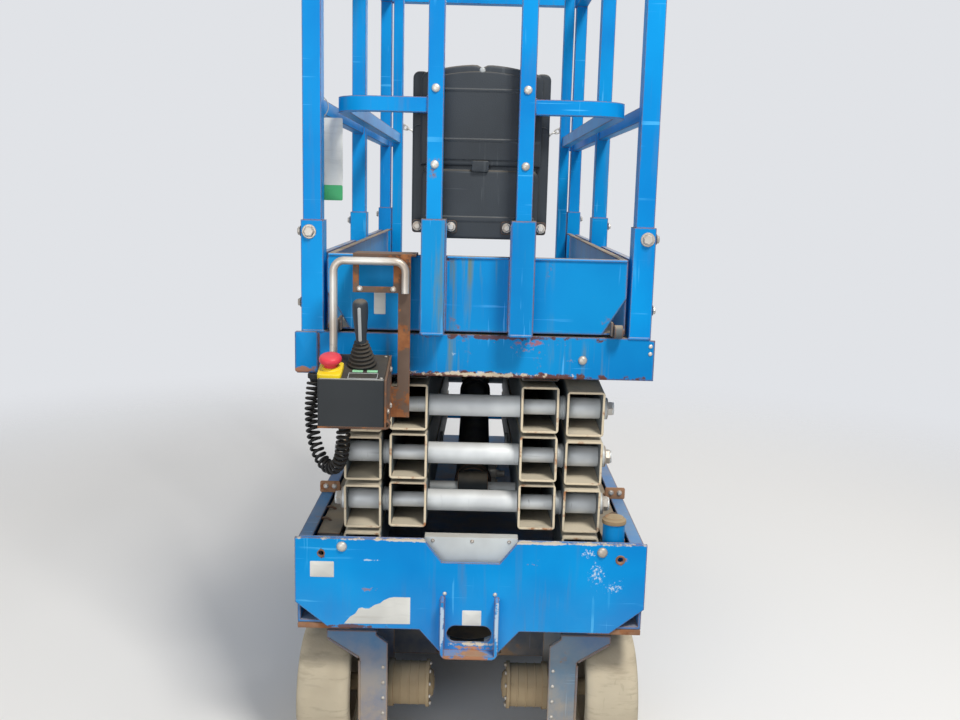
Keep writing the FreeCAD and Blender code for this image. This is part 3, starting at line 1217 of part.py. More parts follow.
def corner(name, centre_x, centre_y, height, bend, wide, tall):
    """Quarter bend of a rectangular tube about a vertical line, from ahead to the right side."""
    half = tall / 2
    body = turned(name, [
        (-half, bend - wide / 2), (half, bend - wide / 2), (half, bend + wide / 2), (-half, bend + wide / 2),
    ], "Z", 90)
    place(body, centre_x, station(centre_y), height)
    body.Placement = FreeCAD.Placement(body.Placement.Base, FreeCAD.Rotation(FreeCAD.Vector(0, 0, 1), -90))
    return body


def extension_rails():
    """Front posts with top and middle rails that bend back along the sides."""
    post = s.ext_post
    post_y = -s.ext_socket / 2
    sheet_top = s.deck_height + s.ext_lift + s.deck_sheet
    inside = s.ext_rail_half
    front_post = box("ExtPost", (s.ext_post_centre - post / 2, s.ext_post_centre + post / 2),
                     (post_y - post / 2, post_y + post / 2), (s.deck_height + s.ext_lift + 6, rail_top - post))
    pieces = [front_post]
    for name, top, tall, wide, start in (("Top", rail_top, post, post, as_dim(0)),
                                         ("Mid", mid_top, s.mid_tall, s.mid_wide, s.ext_post_centre + post / 2)):
        low = top - tall
        bend = s.corner_bend
        centre_x = inside - wide / 2 - bend
        centre_y = post_y + bend
        y = (post_y - wide / 2, post_y + wide / 2)
        pieces.append(box(f"Ext{name}Front", (start, centre_x), y, (low, top)))
        pieces.append(corner(f"Ext{name}Bend", centre_x, centre_y, low + tall / 2, bend, wide, tall))
        pieces.append(box(f"Ext{name}Side", (inside - wide, inside), (centre_y, s.ext_long - post), (low, top)))
    rear_post = box("ExtRearPost", (inside - post, inside), (s.ext_long - post, s.ext_long), (sheet_top, rail_top))
    pieces.append(rear_post)
    return node("extension_rails", fuse("ExtensionRails", pieces + [mirror(piece) for piece in pieces]))


def manual_box():
    """Moulded box for the manuals, hung between the extension's front posts, with a groove under its lid."""
    half, foot, top = s.manual_half, s.manual_foot, s.manual_top
    side = half * 0.86
    shoulder = top - s.ear_below
    loop = [
        (-side + 14, foot), (side - 14, foot), (side, foot + 14), (side, shoulder), (side - 16, top - 12),
        (8, top), (0, top - 9), (-8, top), (-side + 16, top - 12), (-side, shoulder), (-side, foot + 14),
    ]
    core = prism("ManualCore", "XZ_Plane", [loop], s.manual_deep)
    place(core, 0, station(s.manual_deep), 0)
    seam = foot + s.manual_seam
    groove = box("ManualGroove", (-half, half), (-1, s.manual_groove), (seam, seam + s.manual_groove))
    pods = []
    for name, low, high in (("Pod", foot + s.pod_foot, foot + s.pod_foot + s.pod_tall),
                            ("Ear", shoulder - s.ear_tall, shoulder)):
        pod = prism(f"Manual{name}", "XZ_Plane", [rectangle((side - 10, half), (low, high))], s.manual_deep * 0.7)
        round_edges(pod, f"Manual{name}", s.pod_round, [(half, low), (half, high)], "y")
        place(pod, 0, station(s.manual_deep * 0.85), 0)
        pods += [pod, mirror(pod)]
    return node("manual_box", cut("ManualBox", fuse("ManualShell", [core] + pods), [groove]))


def controls():
    """Platform controls hung on the extension's front toe board."""
    front = -s.front_reach
    back = front + s.box_deep
    panel_tilt = turn_of(s.box_crown - s.box_brow, s.box_deep)
    case = prism("ControlCase", "YZ_Plane", [[
        (front, s.box_foot), (back, s.box_foot), (back, s.box_crown), (front, s.box_brow),
    ]], s.box_left - s.box_right)
    place(case, -s.box_left, station(0), 0)
    node("control_box", case)

    def seat(piece, x, depth):
        """Stand a turned piece on the sloping panel."""
        piece.Placement = FreeCAD.Placement(FreeCAD.Vector(), FreeCAD.Rotation(FreeCAD.Vector(1, 0, 0), 1))
        bind(piece, "Placement.Rotation.Angle", panel_tilt)
        rise = (s.box_crown - s.box_brow) * depth / s.box_deep
        place(piece, x, station(front + depth), s.box_brow + rise)

    stick = turned("JoyStick", [
        (0, 0), (0, 24), (12, 25), (20, 19), (44, 12), (52, 9), (54, 12), (92, 14), (126, 13), (138, 9), (141, 0),
    ], "Z")
    seat(stick, -(s.box_left + s.box_right) / 2 + 14, s.box_deep * 0.6)
    node("joystick", stick)
    stop = turned("StopButton", [
        (0, 0), (0, 19), (12, 19), (12, 12), (20, 12), (22, 19), (30, 20), (36, 14), (38, 0),
    ], "Z")
    seat(stop, -s.box_left + 22, as_dim(36))
    node("stop_button", stop)
    hoop(case)
    bracket()


def hoop(case):
    """Tube guard over the controls: two bends and three straight runs."""
    left, right = -s.box_left + 17, -s.box_right + 31
    y = -s.front_reach + s.box_deep - s.hoop_radius
    foot_left, foot_right = s.box_brow, s.hoop_top - 72
    bend = s.hoop_bend
    height = s.hoop_top - s.hoop_radius
    pieces = [
        bar("HoopLeft", "Z", (left, y, foot_left), s.hoop_radius, height - bend - foot_left),
        bar("HoopRight", "Z", (right, y, foot_right), s.hoop_radius, height - bend - foot_right),
        bar("HoopTop", "X", (left + bend, y, height), s.hoop_radius, right - left - bend * 2),
    ]
    for name, x, turn in (("Left", left + bend, 90), ("Right", right - bend, 0)):
        elbow = doc.addObject("Part::Torus", f"HoopBend{name}")
        bind(elbow, "Radius1", bend)
        bind(elbow, "Radius2", s.hoop_radius)
        elbow.Angle3 = 90
        upright = FreeCAD.Rotation(FreeCAD.Vector(1, 0, 0), 90)
        spin = FreeCAD.Rotation(FreeCAD.Vector(0, 1, 0), -turn)
        elbow.Placement = FreeCAD.Placement(FreeCAD.Vector(), spin.multiply(upright))
        place(elbow, x, station(y), height - bend)
        pieces.append(elbow)
    return node("control_hoop", cut("ControlHoop", fuse("HoopTube", pieces), [case]))


def bracket():
    """Sheet bracket that carries the control box and hooks over the extension's toe board."""
    front = -s.front_reach
    back = front + s.box_deep
    plate = s.bracket_thick
    strip = (-s.box_right + 16, -s.box_right + 41)
    over = s.ext_toe_top + s.face_play
    hooked = s.toe_flange + s.face_play
    shelf = box("BracketShelf", (-s.box_left, -s.box_right + plate), (front, back), (s.box_foot - plate, s.box_foot))
    cheek = prism("BracketCheek", "YZ_Plane", [[
        (front, s.box_foot - plate), (back, s.box_foot - plate), (back, s.box_crown), (front, s.box_brow),
    ]], plate)
    place(cheek, -s.box_right, station(0), 0)
    spine = box("BracketBack", (-s.box_right - 24, strip[1]), (back, back + plate), (s.box_foot - plate, s.box_foot + 60))
    upright = box("BracketUpright", strip, (back, back + plate), (s.box_foot - plate, over + plate))
    reach = (-s.box_left + 55, strip[1] + 10)
    arm = box("BracketArm", reach, (back, hooked + plate), (over, over + plate))
    nib = box("BracketNib", reach, (hooked, hooked + plate), (over - 20, over + plate))
    frame = box("BracketFrame", (reach[0], strip[0]), (back, back + plate), (s.ext_toe_top - 74, over))
    window = box("BracketWindow", (reach[0] + 12, strip[0] - 10), (back - 1, back + plate + 1),
                 (s.ext_toe_top - 62, s.ext_toe_top - 12))
    frame = cut("BracketFrameCut", frame, [window])
    return node("control_bracket", fuse("ControlBracket", [shelf, cheek, spine, upright, arm, nib, frame]))


def swept_tube(points, radius):
    """A tube along straight runs joined by tangent arcs as large as the runs allow."""
    corners = [FreeCAD.Vector(*point) for point in points]
    edges = []
    radii = []
    last = corners[0]
    for before, here, after in zip(corners, corners[1:], corners[2:]):
        into, out = (here - before), (after - here)
        turn = into.getAngle(out)
        reach = 0.45 * min(into.Length, out.Length)
        radii.append(reach / math.tan(turn / 2))
        start = here - into.normalize() * reach
        end = here + out.normalize() * reach
        bow = (before - here).normalize() + (after - here).normalize()
        bow.normalize()
        distance = radii[-1] / math.cos(turn / 2) - radii[-1]
        edges.append(Part.LineSegment(last, start).toShape())
        edges.append(Part.Arc(start, here + bow * distance, end).toShape())
        last = end
    edges.append(Part.LineSegment(last, corners[-1]).toShape())
    wire = Part.Wire(edges)
    direction = corners[1] - corners[0]
    circle = Part.Wire(Part.makeCircle(radius, corners[0], direction))
    shape = wire.makePipeShell([circle], True, False, 2)
    return shape, wire.Length, radii


def cord_tube(name, label, points, radius):
    """A free cord as one plain tube; its route is a list chosen by hand."""
    shape, length, radii = swept_tube(points, radius)
    share = shape.Volume / (math.pi * radius * radius * length)
    print(f"{label}: length {length:.0f}, radii {[round(r) for r in radii]}, volume share {share:.4f}")
    cord = doc.addObject("Part::Feature", name)
    cord.Shape = shape
    return node(label, cord)


# Route of the curly cord, x, station and height: down from the beam, round and up to the box
CURLY_ROUTE = (
    (-338, -6, 926.5), (-338, -8, 880), (-334, -20, 824), (-323, -38, 774), (-302, -60, 744),
    (-279, -84, 750), (-264, -106, 792), (-264, -106, 848.5),
)


def curly_cord():
    shift = -middle.value
    points = [(x, y + shift, z) for x, y, z in CURLY_ROUTE]
    return cord_tube("CurlyCord", "curly_cord", points, s.cord_radius.value)


# Route of the drive hose, x, station and height: out of the tub's floor, down in a bow and back up
DRIVE_ROUTE = (
    (-104, 66, 369.5), (-104, 65, 346), (-84, 62, 318), (-44, 59, 302), (2, 58, 296), (46, 59, 303),
    (78, 62, 319), (94, 65, 346), (94, 66, 369.5),
)


def drive_hose():
    shift = -middle.value
    points = [(x, y + shift, z) for x, y, z in DRIVE_ROUTE]
    return cord_tube("DriveHose", "drive_hose", points, s.hose_radius.value)


def entry_chain():
    """Slack chain across the entry."""
    y = s.rear_post_back.value - s.socket_wall.value - s.entry_post.value / 2 - middle.value
    half = s.entry_half.value - s.chain_radius.value / 2
    steps = 8
    points = []
    for i in range(steps + 1):
        u = -1 + 2 * i / steps
        points.append((half * u, y, s.chain_height.value - s.chain_sag.value * (1 - u * u)))
    return cord_tube("EntryChain", "entry_chain", points, s.chain_radius.value)


def check_and_write():
    """Stop on anything failed, then write each sub-part's shape."""
    doc.recompute()
    for obj in doc.Objects:
        if {"Invalid", "Error"} & set(obj.State):
            raise RuntimeError(f"{obj.Label} failed: {obj.State}")
    for body, pocket in pockets:
        base = pocket.BaseFeature
        if base is not None and pocket.Shape.Volume >= base.Shape.Volume:
            raise RuntimeError(f"{pocket.Label} cuts nothing")
    faulty = [obj.Label for obj in nodes if obj.Shape.isNull() or not obj.Shape.isValid()]
    if faulty:
        raise RuntimeError(f"no valid shape: {faulty}")
    os.makedirs("parts", exist_ok=True)
    for obj in nodes:
        obj.Shape.exportStep(f"parts/{obj.Label}.step")
        room = obj.Shape.BoundBox
        print(f"{obj.Label}: {len(obj.Shape.Solids)} solids, x {room.XMin:.1f} {room.XMax:.1f},"
              f" y {room.YMin:.1f} {room.YMax:.1f}, z {room.ZMin:.1f} {room.ZMax:.1f}")
    print(f"{len(nodes)} sub-parts written")


chassis_frame()
front_plate()
inner_guard()
front_wheels_gear()
rear_axle()
wheels()
trays()
pothole_guards()
ladder()
scissor_arms()
lift_cylinder()
platform_deck()
main_rails()
entry_arch()
extension_deck()
extension_rails()
manual_box()
controls()
curly_cord()
drive_hose()
entry_chain()
check_and_write()
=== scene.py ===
"""Narrow electric scissor lift, stowed: finishes, fittings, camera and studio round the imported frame."""
import logging
import math
from dataclasses import dataclass, field
from enum import Enum
from typing import Iterable, Sequence

import bmesh
import bpy
import numpy as np
from mathutils import Matrix, Vector


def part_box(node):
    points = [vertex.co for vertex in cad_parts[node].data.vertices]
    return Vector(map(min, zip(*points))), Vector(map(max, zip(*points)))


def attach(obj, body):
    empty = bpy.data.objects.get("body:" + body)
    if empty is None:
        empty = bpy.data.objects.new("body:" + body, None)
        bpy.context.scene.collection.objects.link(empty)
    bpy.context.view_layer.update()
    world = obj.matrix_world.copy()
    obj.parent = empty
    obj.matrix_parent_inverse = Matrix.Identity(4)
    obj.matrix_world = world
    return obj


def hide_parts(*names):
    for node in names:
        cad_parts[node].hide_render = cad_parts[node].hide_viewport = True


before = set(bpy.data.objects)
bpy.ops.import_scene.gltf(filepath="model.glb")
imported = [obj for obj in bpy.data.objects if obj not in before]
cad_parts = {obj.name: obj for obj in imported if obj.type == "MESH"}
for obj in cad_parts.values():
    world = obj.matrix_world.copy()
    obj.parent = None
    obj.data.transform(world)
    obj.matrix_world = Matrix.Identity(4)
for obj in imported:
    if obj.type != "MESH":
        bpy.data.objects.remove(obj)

LOG = logging.getLogger("scissor_lift")
MIDDLE = 0.775  # the platform's front face lies this far ahead of the frame's middle, metres
TAU = 2.0 * math.pi
GLOSS = 0.28  # specular level of everything but paint
IMAGE_WIDE = 960  # the photograph's width, pixels
SENSOR_WIDE = 36.0  # the camera's sensor, millimetres
SOFT = 60.0  # edges of drawn wire, beads and cords stay smooth up to this angle, degrees
Array = np.ndarray
Colour = tuple[float, float, float]
Point = Sequence[float]


class Axis:
    """Directions of the frame."""

    X = (1.0, 0.0, 0.0)
    Y = (0.0, 1.0, 0.0)
    Z = (0.0, 0.0, 1.0)
    LEFT = (-1.0, 0.0, 0.0)
    FRONT = (0.0, -1.0, 0.0)
    DOWN = (0.0, 0.0, -1.0)


class Side(Enum):
    """Left and right of the machine as seen from the front."""

    LEFT = -1
    RIGHT = 1


def station(along: float) -> float:
    """The frame's Y of a place measured back from the platform's front face, in metres."""
    return along - MIDDLE


def srgb(red: int, green: int, blue: int) -> Colour:
    """Linear colour of a screen colour given in 0 to 255."""
    return tuple(((c / 255 + 0.055) / 1.055) ** 2.4 if c > 10 else c / 3294.6 for c in (red, green, blue))


class Wiring:
    """Adds nodes to one node tree and links their sockets."""

    def __init__(self, tree: bpy.types.NodeTree) -> None:
        """Keep the tree that nodes go into."""
        self.tree = tree

    def add(self, kind: str, settings: dict | None = None, **inputs: object) -> bpy.types.Node:
        """Add a node, set its properties and feed its inputs.

        Args:
            kind: Node type without its ShaderNode prefix.
            settings: Properties of the node.
            **inputs: Input names, with underscores for spaces, or in_0, in_1 for numbered ones; a value
                or another node's output socket.

        Returns:
            The new node.
        """
        node = self.tree.nodes.new("ShaderNode" + kind)
        for name, value in (settings or {}).items():
            setattr(node, name, value)
        for name, value in inputs.items():
            key = int(name[3:]) if name.startswith("in_") else name.replace("_", " ")
            self.feed(node.inputs[key], value)
        return node

    def feed(self, socket: bpy.types.NodeSocket, value: object) -> None:
        """Link or set one input socket."""
        if isinstance(value, bpy.types.NodeSocket):
            self.tree.links.new(value, socket)
        elif isinstance(value, tuple) and len(value) == 3 and socket.type == "RGBA":
            socket.default_value = (*value, 1.0)
        else:
            socket.default_value = value

    def maths(self, operation: str, first: object, second: object = 0.0,
              clamp: bool = False) -> bpy.types.NodeSocket:
        """One arithmetic step on two values."""
        node = self.add("Math", {"operation": operation, "use_clamp": clamp}, in_0=first, in_1=second)
        return node.outputs[0]

    def plus(self, first: object, second: object) -> bpy.types.NodeSocket:
        """Sum of two values."""
        return self.maths("ADD", first, second)

    def minus(self, first: object, second: object, clamp: bool = False) -> bpy.types.NodeSocket:
        """Difference of two values."""
        return self.maths("SUBTRACT", first, second, clamp)

    def times(self, first: object, second: object, clamp: bool = False) -> bpy.types.NodeSocket:
        """Product of two values."""
        return self.maths("MULTIPLY", first, second, clamp)

    def larger(self, first: object, second: object) -> bpy.types.NodeSocket:
        """The larger of two values."""
        return self.maths("MAXIMUM", first, second)

    def ramp(self, value: object, low: float, high: float, to_low: float = 0.0,
             to_high: float = 1.0) -> bpy.types.NodeSocket:
        """A smooth step of value from low to high."""
        node = self.add("MapRange", {"interpolation_type": "SMOOTHSTEP"}, Value=value, From_Min=low, From_Max=high,
                        To_Min=to_low, To_Max=to_high)
        return node.outputs[0]

    def mix(self, factor: object, first: object, second: object) -> bpy.types.NodeSocket:
        """A blend of two colours."""
        node = self.add("Mix", {"data_type": "RGBA"})
        self.feed(node.inputs[0], factor)
        self.feed(node.inputs[6], first)
        self.feed(node.inputs[7], second)
        return node.outputs[2]

    def noise(self, vector: object, scale: float, detail: float = 4.0, rough: float = 0.55) -> bpy.types.NodeSocket:
        """Fractal noise at a scale per metre."""
        return self.add("TexNoise", Vector=vector, Scale=scale, Detail=detail, Roughness=rough).outputs["Fac"]

    def place(self) -> bpy.types.NodeSocket:
        """Object coordinates."""
        return self.add("TexCoord").outputs["Object"]

    def facing(self, axis: int) -> bpy.types.NodeSocket:
        """One part of the surface's own normal, which turns with its body."""
        return self.add("SeparateXYZ", in_0=self.add("TexCoord").outputs["Normal"]).outputs[axis]


def new_group(name: str, inputs: dict[str, tuple[str, float]],
              outputs: dict[str, str]) -> tuple[Wiring, object, object]:
    """Start a shader node group.

    Args:
        name: The group's name.
        inputs: Input names with their socket type and default.
        outputs: Output names with their socket type.

    Returns:
        The group's wiring, what comes into it and what it gives.
    """
    tree = bpy.data.node_groups.new(name, "ShaderNodeTree")
    for label, (kind, value) in inputs.items():
        socket = tree.interface.new_socket(label, in_out="INPUT", socket_type="NodeSocket" + kind)
        if kind == "Float":
            socket.default_value = value
    for label, kind in outputs.items():
        tree.interface.new_socket(label, in_out="OUTPUT", socket_type="NodeSocket" + kind)
    wiring = Wiring(tree)
    return wiring, tree.nodes.new("NodeGroupInput").outputs, tree.nodes.new("NodeGroupOutput").inputs


class Effects:
    """Shader node groups that several finishes share, each built once."""

    def __init__(self) -> None:
        """Build every group."""
        self.wear = self.build_wear()
        self.dust = self.build_dust()
        self.scratches = self.build_scratches()
        self.patches = self.build_patches()
        self.spot = self.build_spot()
        self.streaks = self.build_streaks()
        self.tread = self.build_tread()

    def build_wear(self) -> bpy.types.NodeTree:
        """Mask of bare edges: how far the rounded normal leaves the face's own, broken up by noise."""
        w, source, sink = new_group(
            "edge_wear", {"Radius": ("Float", 0.004), "Breakup": ("Float", 30.0), "Amount": ("Float", 0.5)},
            {"Edge": "Float", "Rounded": "Vector"})
        bevel = w.add("Bevel", {"samples": 4}, Radius=source["Radius"])
        own = w.add("NewGeometry").outputs["Normal"]
        dot = w.add("VectorMath", {"operation": "DOT_PRODUCT"}, in_0=bevel.outputs[0], in_1=own).outputs["Value"]
        lean = w.minus(1.0, dot)
        coarse = w.add("TexNoise", Vector=w.place(), Scale=source["Breakup"], Detail=5.0, Roughness=0.65)
        level = w.minus(1.0, source["Amount"])
        edge = w.ramp(lean, 0.015, 0.12)
        spots = w.minus(w.plus(coarse.outputs["Fac"], w.times(edge, 0.35)), level)
        w.feed(sink["Edge"], w.times(w.ramp(spots, 0.0, 0.12), edge, clamp=True))
        w.feed(sink["Rounded"], bevel.outputs[0])
        return w.tree

    def build_dust(self) -> bpy.types.NodeTree:
        """Mask of settled dust: faces that look up, and low places, each broken up by noise."""
        w, source, sink = new_group(
            "settled_dust", {"Up": ("Float", 0.6), "Low": ("Float", 0.5), "Height": ("Float", 0.45)},
            {"Dust": "Float"})
        place = w.place()
        height = w.add("SeparateXYZ", in_0=place).outputs[2]
        cloud = w.noise(place, 9.0, 6.0, 0.62)
        flat = w.times(w.ramp(w.facing(2), 0.35, 0.95), source["Up"])
        near = w.minus(1.0, w.maths("DIVIDE", height, source["Height"]), clamp=True)
        both = w.plus(flat, w.times(near, source["Low"]))
        w.feed(sink["Dust"], w.times(both, w.ramp(cloud, 0.28, 0.68, 0.45, 1.25), clamp=True))
        return w.tree

    def build_scratches(self) -> bpy.types.NodeTree:
        """Mask of fine scratches: noise stretched along two directions and cut to its thin crests."""
        w, source, sink = new_group("scratches", {"Amount": ("Float", 0.5)}, {"Scratch": "Float"})
        place = w.place()
        total: object = 0.0
        for turn, stretch in (((0.3, 0.2, 0.5), (4.0, 60.0, 110.0)), ((0.1, 0.9, 1.3), (90.0, 70.0, 5.0))):
            spun = w.add("Mapping", Vector=place, Rotation=turn, Scale=stretch).outputs[0]
            total = w.plus(total, w.ramp(w.noise(spun, 1.0, 2.0), 0.66, 0.70))
        some = w.ramp(w.noise(place, 5.0, 3.0), 0.45, 0.62)
        w.feed(sink["Scratch"], w.times(w.times(total, some), source["Amount"], clamp=True))
        return w.tree

    def build_patches(self) -> bpy.types.NodeTree:
        """Broad and fine variation of a surface, each from 0 to 1."""
        w, source, sink = new_group("patches", {"Scale": ("Float", 3.0)}, {"Broad": "Float", "Fine": "Float"})
        place = w.place()
        broad = w.add("TexNoise", Vector=place, Scale=source["Scale"], Detail=3.0).outputs["Fac"]
        w.feed(sink["Broad"], w.ramp(broad, 0.3, 0.7))
        w.feed(sink["Fine"], w.noise(place, 180.0, 4.0, 0.6))
        return w.tree

    def build_spot(self) -> bpy.types.NodeTree:
        """Mask of one rubbed place: density - |(place - centre) / reach|, frayed by noise."""
        w, source, sink = new_group(
            "rub_spot", {"Centre": ("Vector", 0.0), "Reach": ("Vector", 0.0), "Breakup": ("Float", 30.0),
                         "Density": ("Float", 1.0)},
            {"Spot": "Float"})
        place = w.place()
        away = w.add("VectorMath", {"operation": "SUBTRACT"}, in_0=place, in_1=source["Centre"]).outputs[0]
        share = w.add("VectorMath", {"operation": "DIVIDE"}, in_0=away, in_1=source["Reach"]).outputs[0]
        far = w.add("VectorMath", {"operation": "LENGTH"}, in_0=share).outputs["Value"]
        fray = w.add("TexNoise", Vector=place, Scale=source["Breakup"], Detail=7.0, Roughness=0.68).outputs["Fac"]
        level = w.plus(w.minus(source["Density"], far), w.times(w.minus(fray, 0.52), 3.4))
        inside = w.ramp(far, 1.0, 1.35, 1.0, 0.0)
        w.feed(sink["Spot"], w.times(w.ramp(level, 0.12, 0.42), inside, clamp=True))
        return w.tree

    def build_streaks(self) -> bpy.types.NodeTree:
        """Mask of grime that has run down: noise drawn out along Z."""
        w, source, sink = new_group("streaks", {"Amount": ("Float", 0.4)}, {"Streak": "Float"})
        place = w.place()
        drawn = w.add("Mapping", Vector=place, Scale=(55.0, 55.0, 3.0)).outputs[0]
        runs = w.ramp(w.noise(drawn, 1.0, 4.0, 0.6), 0.52, 0.72)
        some = w.ramp(w.noise(place, 4.0, 3.0), 0.42, 0.66)
        w.feed(sink["Streak"], w.times(w.times(runs, some), source["Amount"], clamp=True))
        return w.tree

    def build_tread(self) -> bpy.types.NodeTree:
        """Raised lozenges in two directions on faces that look up: distance to the points of stretched square grids."""
        w, _, sink = new_group("tread_plate", {}, {"Height": "Float"})
        place = w.place()
        total: object = 0.0
        for turn, shift in ((math.radians(45), 0.0), (math.radians(-45), 0.5)):
            spun = w.add("Mapping", Vector=place, Rotation=(0.0, 0.0, turn), Scale=(28.0, 70.0, 0.0),
                         Location=(shift, shift, 0.0))
            near = w.add("TexVoronoi", {"feature": "F1"}, Vector=spun.outputs[0], Scale=1.0,
                         Randomness=0.0).outputs["Distance"]
            total = w.larger(total, w.ramp(near, 0.20, 0.34, 1.0, 0.0))
        w.feed(sink["Height"], w.times(total, w.ramp(w.facing(2), 0.9, 0.98)))
        return w.tree

    @staticmethod
    def place(w: Wiring, group: bpy.types.NodeTree, **inputs: object) -> object:
        """Put a group into a material with its own values, and return its outputs."""
        node = w.add("Group")
        node.node_tree = group
        for name, value in inputs.items():
            w.feed(node.inputs[name], value)
        return node.outputs


def new_material(name: str, gloss: float = GLOSS) -> tuple[bpy.types.Material, Wiring, bpy.types.Node]:
    """Start a material with one Principled shader.

    Args:
        name: The material's name.
        gloss: The shader's specular level.

    Returns:
        The material, its wiring and its shader node.
    """
    material = bpy.data.materials.new(name)
    material.use_nodes = True
    tree = material.node_tree
    tree.nodes.clear()
    w = Wiring(tree)
    shader = w.add("BsdfPrincipled", Specular_IOR_Level=gloss)
    output = w.add("OutputMaterial")
    w.feed(output.inputs["Surface"], shader.outputs[0])
    return material, w, shader


class Layers:
    """A material in the making: its wiring and shader, and the masks that every finish has."""

    def __init__(self, finish: "Paint | Metal | Moulded", fx: Effects, scale: float, breakup: float, worn: float,
                 scratch: float) -> None:
        """Start the material and place the shared groups.

        Args:
            finish: The finish that the material is for.
            fx: The shared groups.
            scale: Scale of its broad patches.
            breakup: Scale of the noise along its worn edges.
            worn: How much of its edges is bare.
            scratch: Strength of its scratches.
        """
        self.material, self.w, self.shader = new_material(finish.name, finish.gloss)
        self.place = self.w.place()
        patches = fx.place(self.w, fx.patches, Scale=scale)
        self.broad, self.fine = patches["Broad"], patches["Fine"]
        wear = fx.place(self.w, fx.wear, Radius=finish.radius, Breakup=breakup, Amount=worn)
        self.edge, self.rounded = wear["Edge"], wear["Rounded"]
        self.dust = fx.place(self.w, fx.dust, Up=finish.up, Low=finish.low, Height=finish.height)["Dust"]
        self.scratch = fx.place(self.w, fx.scratches, Amount=scratch)["Scratch"]

    def close(self, finish: "Paint | Metal | Moulded", colour: object, dull: object, grain: float,
              **bump: object) -> bpy.types.Material:
        """Feed the shader its colour, roughness and bump.

        Args:
            finish: The finish that the material is for.
            colour: The colour's socket.
            dull: What rust and dust add to the roughness.
            grain: Share of the fine patches in the roughness.
            **bump: Inputs of the bump node.

        Returns:
            The material.
        """
        w, inputs = self.w, self.shader.inputs
        w.feed(inputs["Base Color"], colour)
        w.feed(inputs["Roughness"], w.plus(w.plus(finish.rough, dull), w.times(self.fine, grain)))
        w.feed(inputs["Normal"], w.add("Bump", Normal=self.rounded, **bump).outputs[0])
        return self.material


def scaled(colour: Colour, share: float) -> Colour:
    """A colour times a share."""
    return tuple(c * share for c in colour)


RUST_DARK = srgb(98, 56, 38)
RUST_LIGHT = srgb(172, 116, 74)
CREAM = srgb(226, 212, 184)
TAN = srgb(178, 142, 104)
SCUFF = srgb(206, 222, 232)
DUST = srgb(188, 168, 138)


@dataclass(frozen=True)
class Spot:
    """A rubbed or rusty place of a painted part: its middle and reach along each axis, and its colour."""

    centre: tuple[float, float, float]
    reach: tuple[float, float, float]
    colour: Colour
    share: float = 0.9
    breakup: float = 34.0
    density: float = 1.0


@dataclass(frozen=True)
class Paint:
    """Sprayed steel: faded and scratched coat, rust where edges are bare, dust where it settles."""

    name: str
    coat: Colour
    faded: Colour
    wear: float = 0.42
    radius: float = 0.004
    rust: float = 0.15
    up: float = 0.45
    low: float = 0.35
    height: float = 0.5
    rough: float = 0.42
    scratch: float = 0.5
    streak: float = 0.35
    ends: Colour | None = None
    floor: Colour | None = None
    run: Colour | None = None
    settle: Colour = DUST
    gloss: float = 0.12
    spots: tuple[Spot, ...] = ()

    def make(self, fx: Effects) -> bpy.types.Material:
        """Build the material."""
        base = Layers(self, fx, 3.5, 26.0, self.wear, self.scratch)
        w, place = base.w, base.place
        streak = fx.place(w, fx.streaks, Amount=self.streak)["Streak"]
        colour = w.mix(base.broad, self.coat, self.faded)
        if self.floor:
            grey = w.mix(w.ramp(w.noise(place, 11.0, 6.0), 0.35, 0.65), self.floor, scaled(self.floor, 0.62))
            colour = w.mix(w.ramp(w.facing(2), 0.9, 0.98), colour, grey)
        colour = w.mix(streak, colour, self.run or tuple(0.35 * c + 0.25 * d for c, d in zip(self.coat, DUST)))
        colour = w.mix(base.scratch, colour, tuple(min(1.0, c * 1.5 + 0.12) for c in self.faded))
        blots = w.ramp(w.noise(place, 7.0, 7.0, 0.68), 0.72 - self.rust * 0.4, 0.78 - self.rust * 0.4)
        rusty = w.larger(base.edge, w.times(blots, 0.85))
        colour = w.mix(rusty, colour, w.mix(w.noise(place, 60.0, 4.0), RUST_DARK, RUST_LIGHT))
        if self.ends:
            rim = w.ramp(w.maths("ABSOLUTE", w.facing(1)), 0.86, 0.95)
            pale = w.mix(w.ramp(w.noise(place, 32.0, 5.0, 0.6), 0.53, 0.68), self.ends, RUST_LIGHT)
            colour = w.mix(w.times(rim, 0.92), colour, pale)
        for spot in self.spots:
            mask = fx.place(w, fx.spot, Centre=spot.centre, Reach=spot.reach, Breakup=spot.breakup,
                            Density=spot.density)["Spot"]
            colour = w.mix(w.times(mask, spot.share), colour, spot.colour)
        colour = w.mix(w.times(base.dust, 0.75), colour, self.settle)
        height = w.minus(w.times(base.fine, 0.12), w.times(rusty, 0.6))
        if self.floor:
            height = w.plus(height, w.times(fx.place(w, fx.tread)["Height"], 1.6))
        return base.close(self, colour, w.times(w.larger(rusty, base.dust), 0.4), 0.06, Strength=0.35,
                          Distance=0.0006, Height=height)


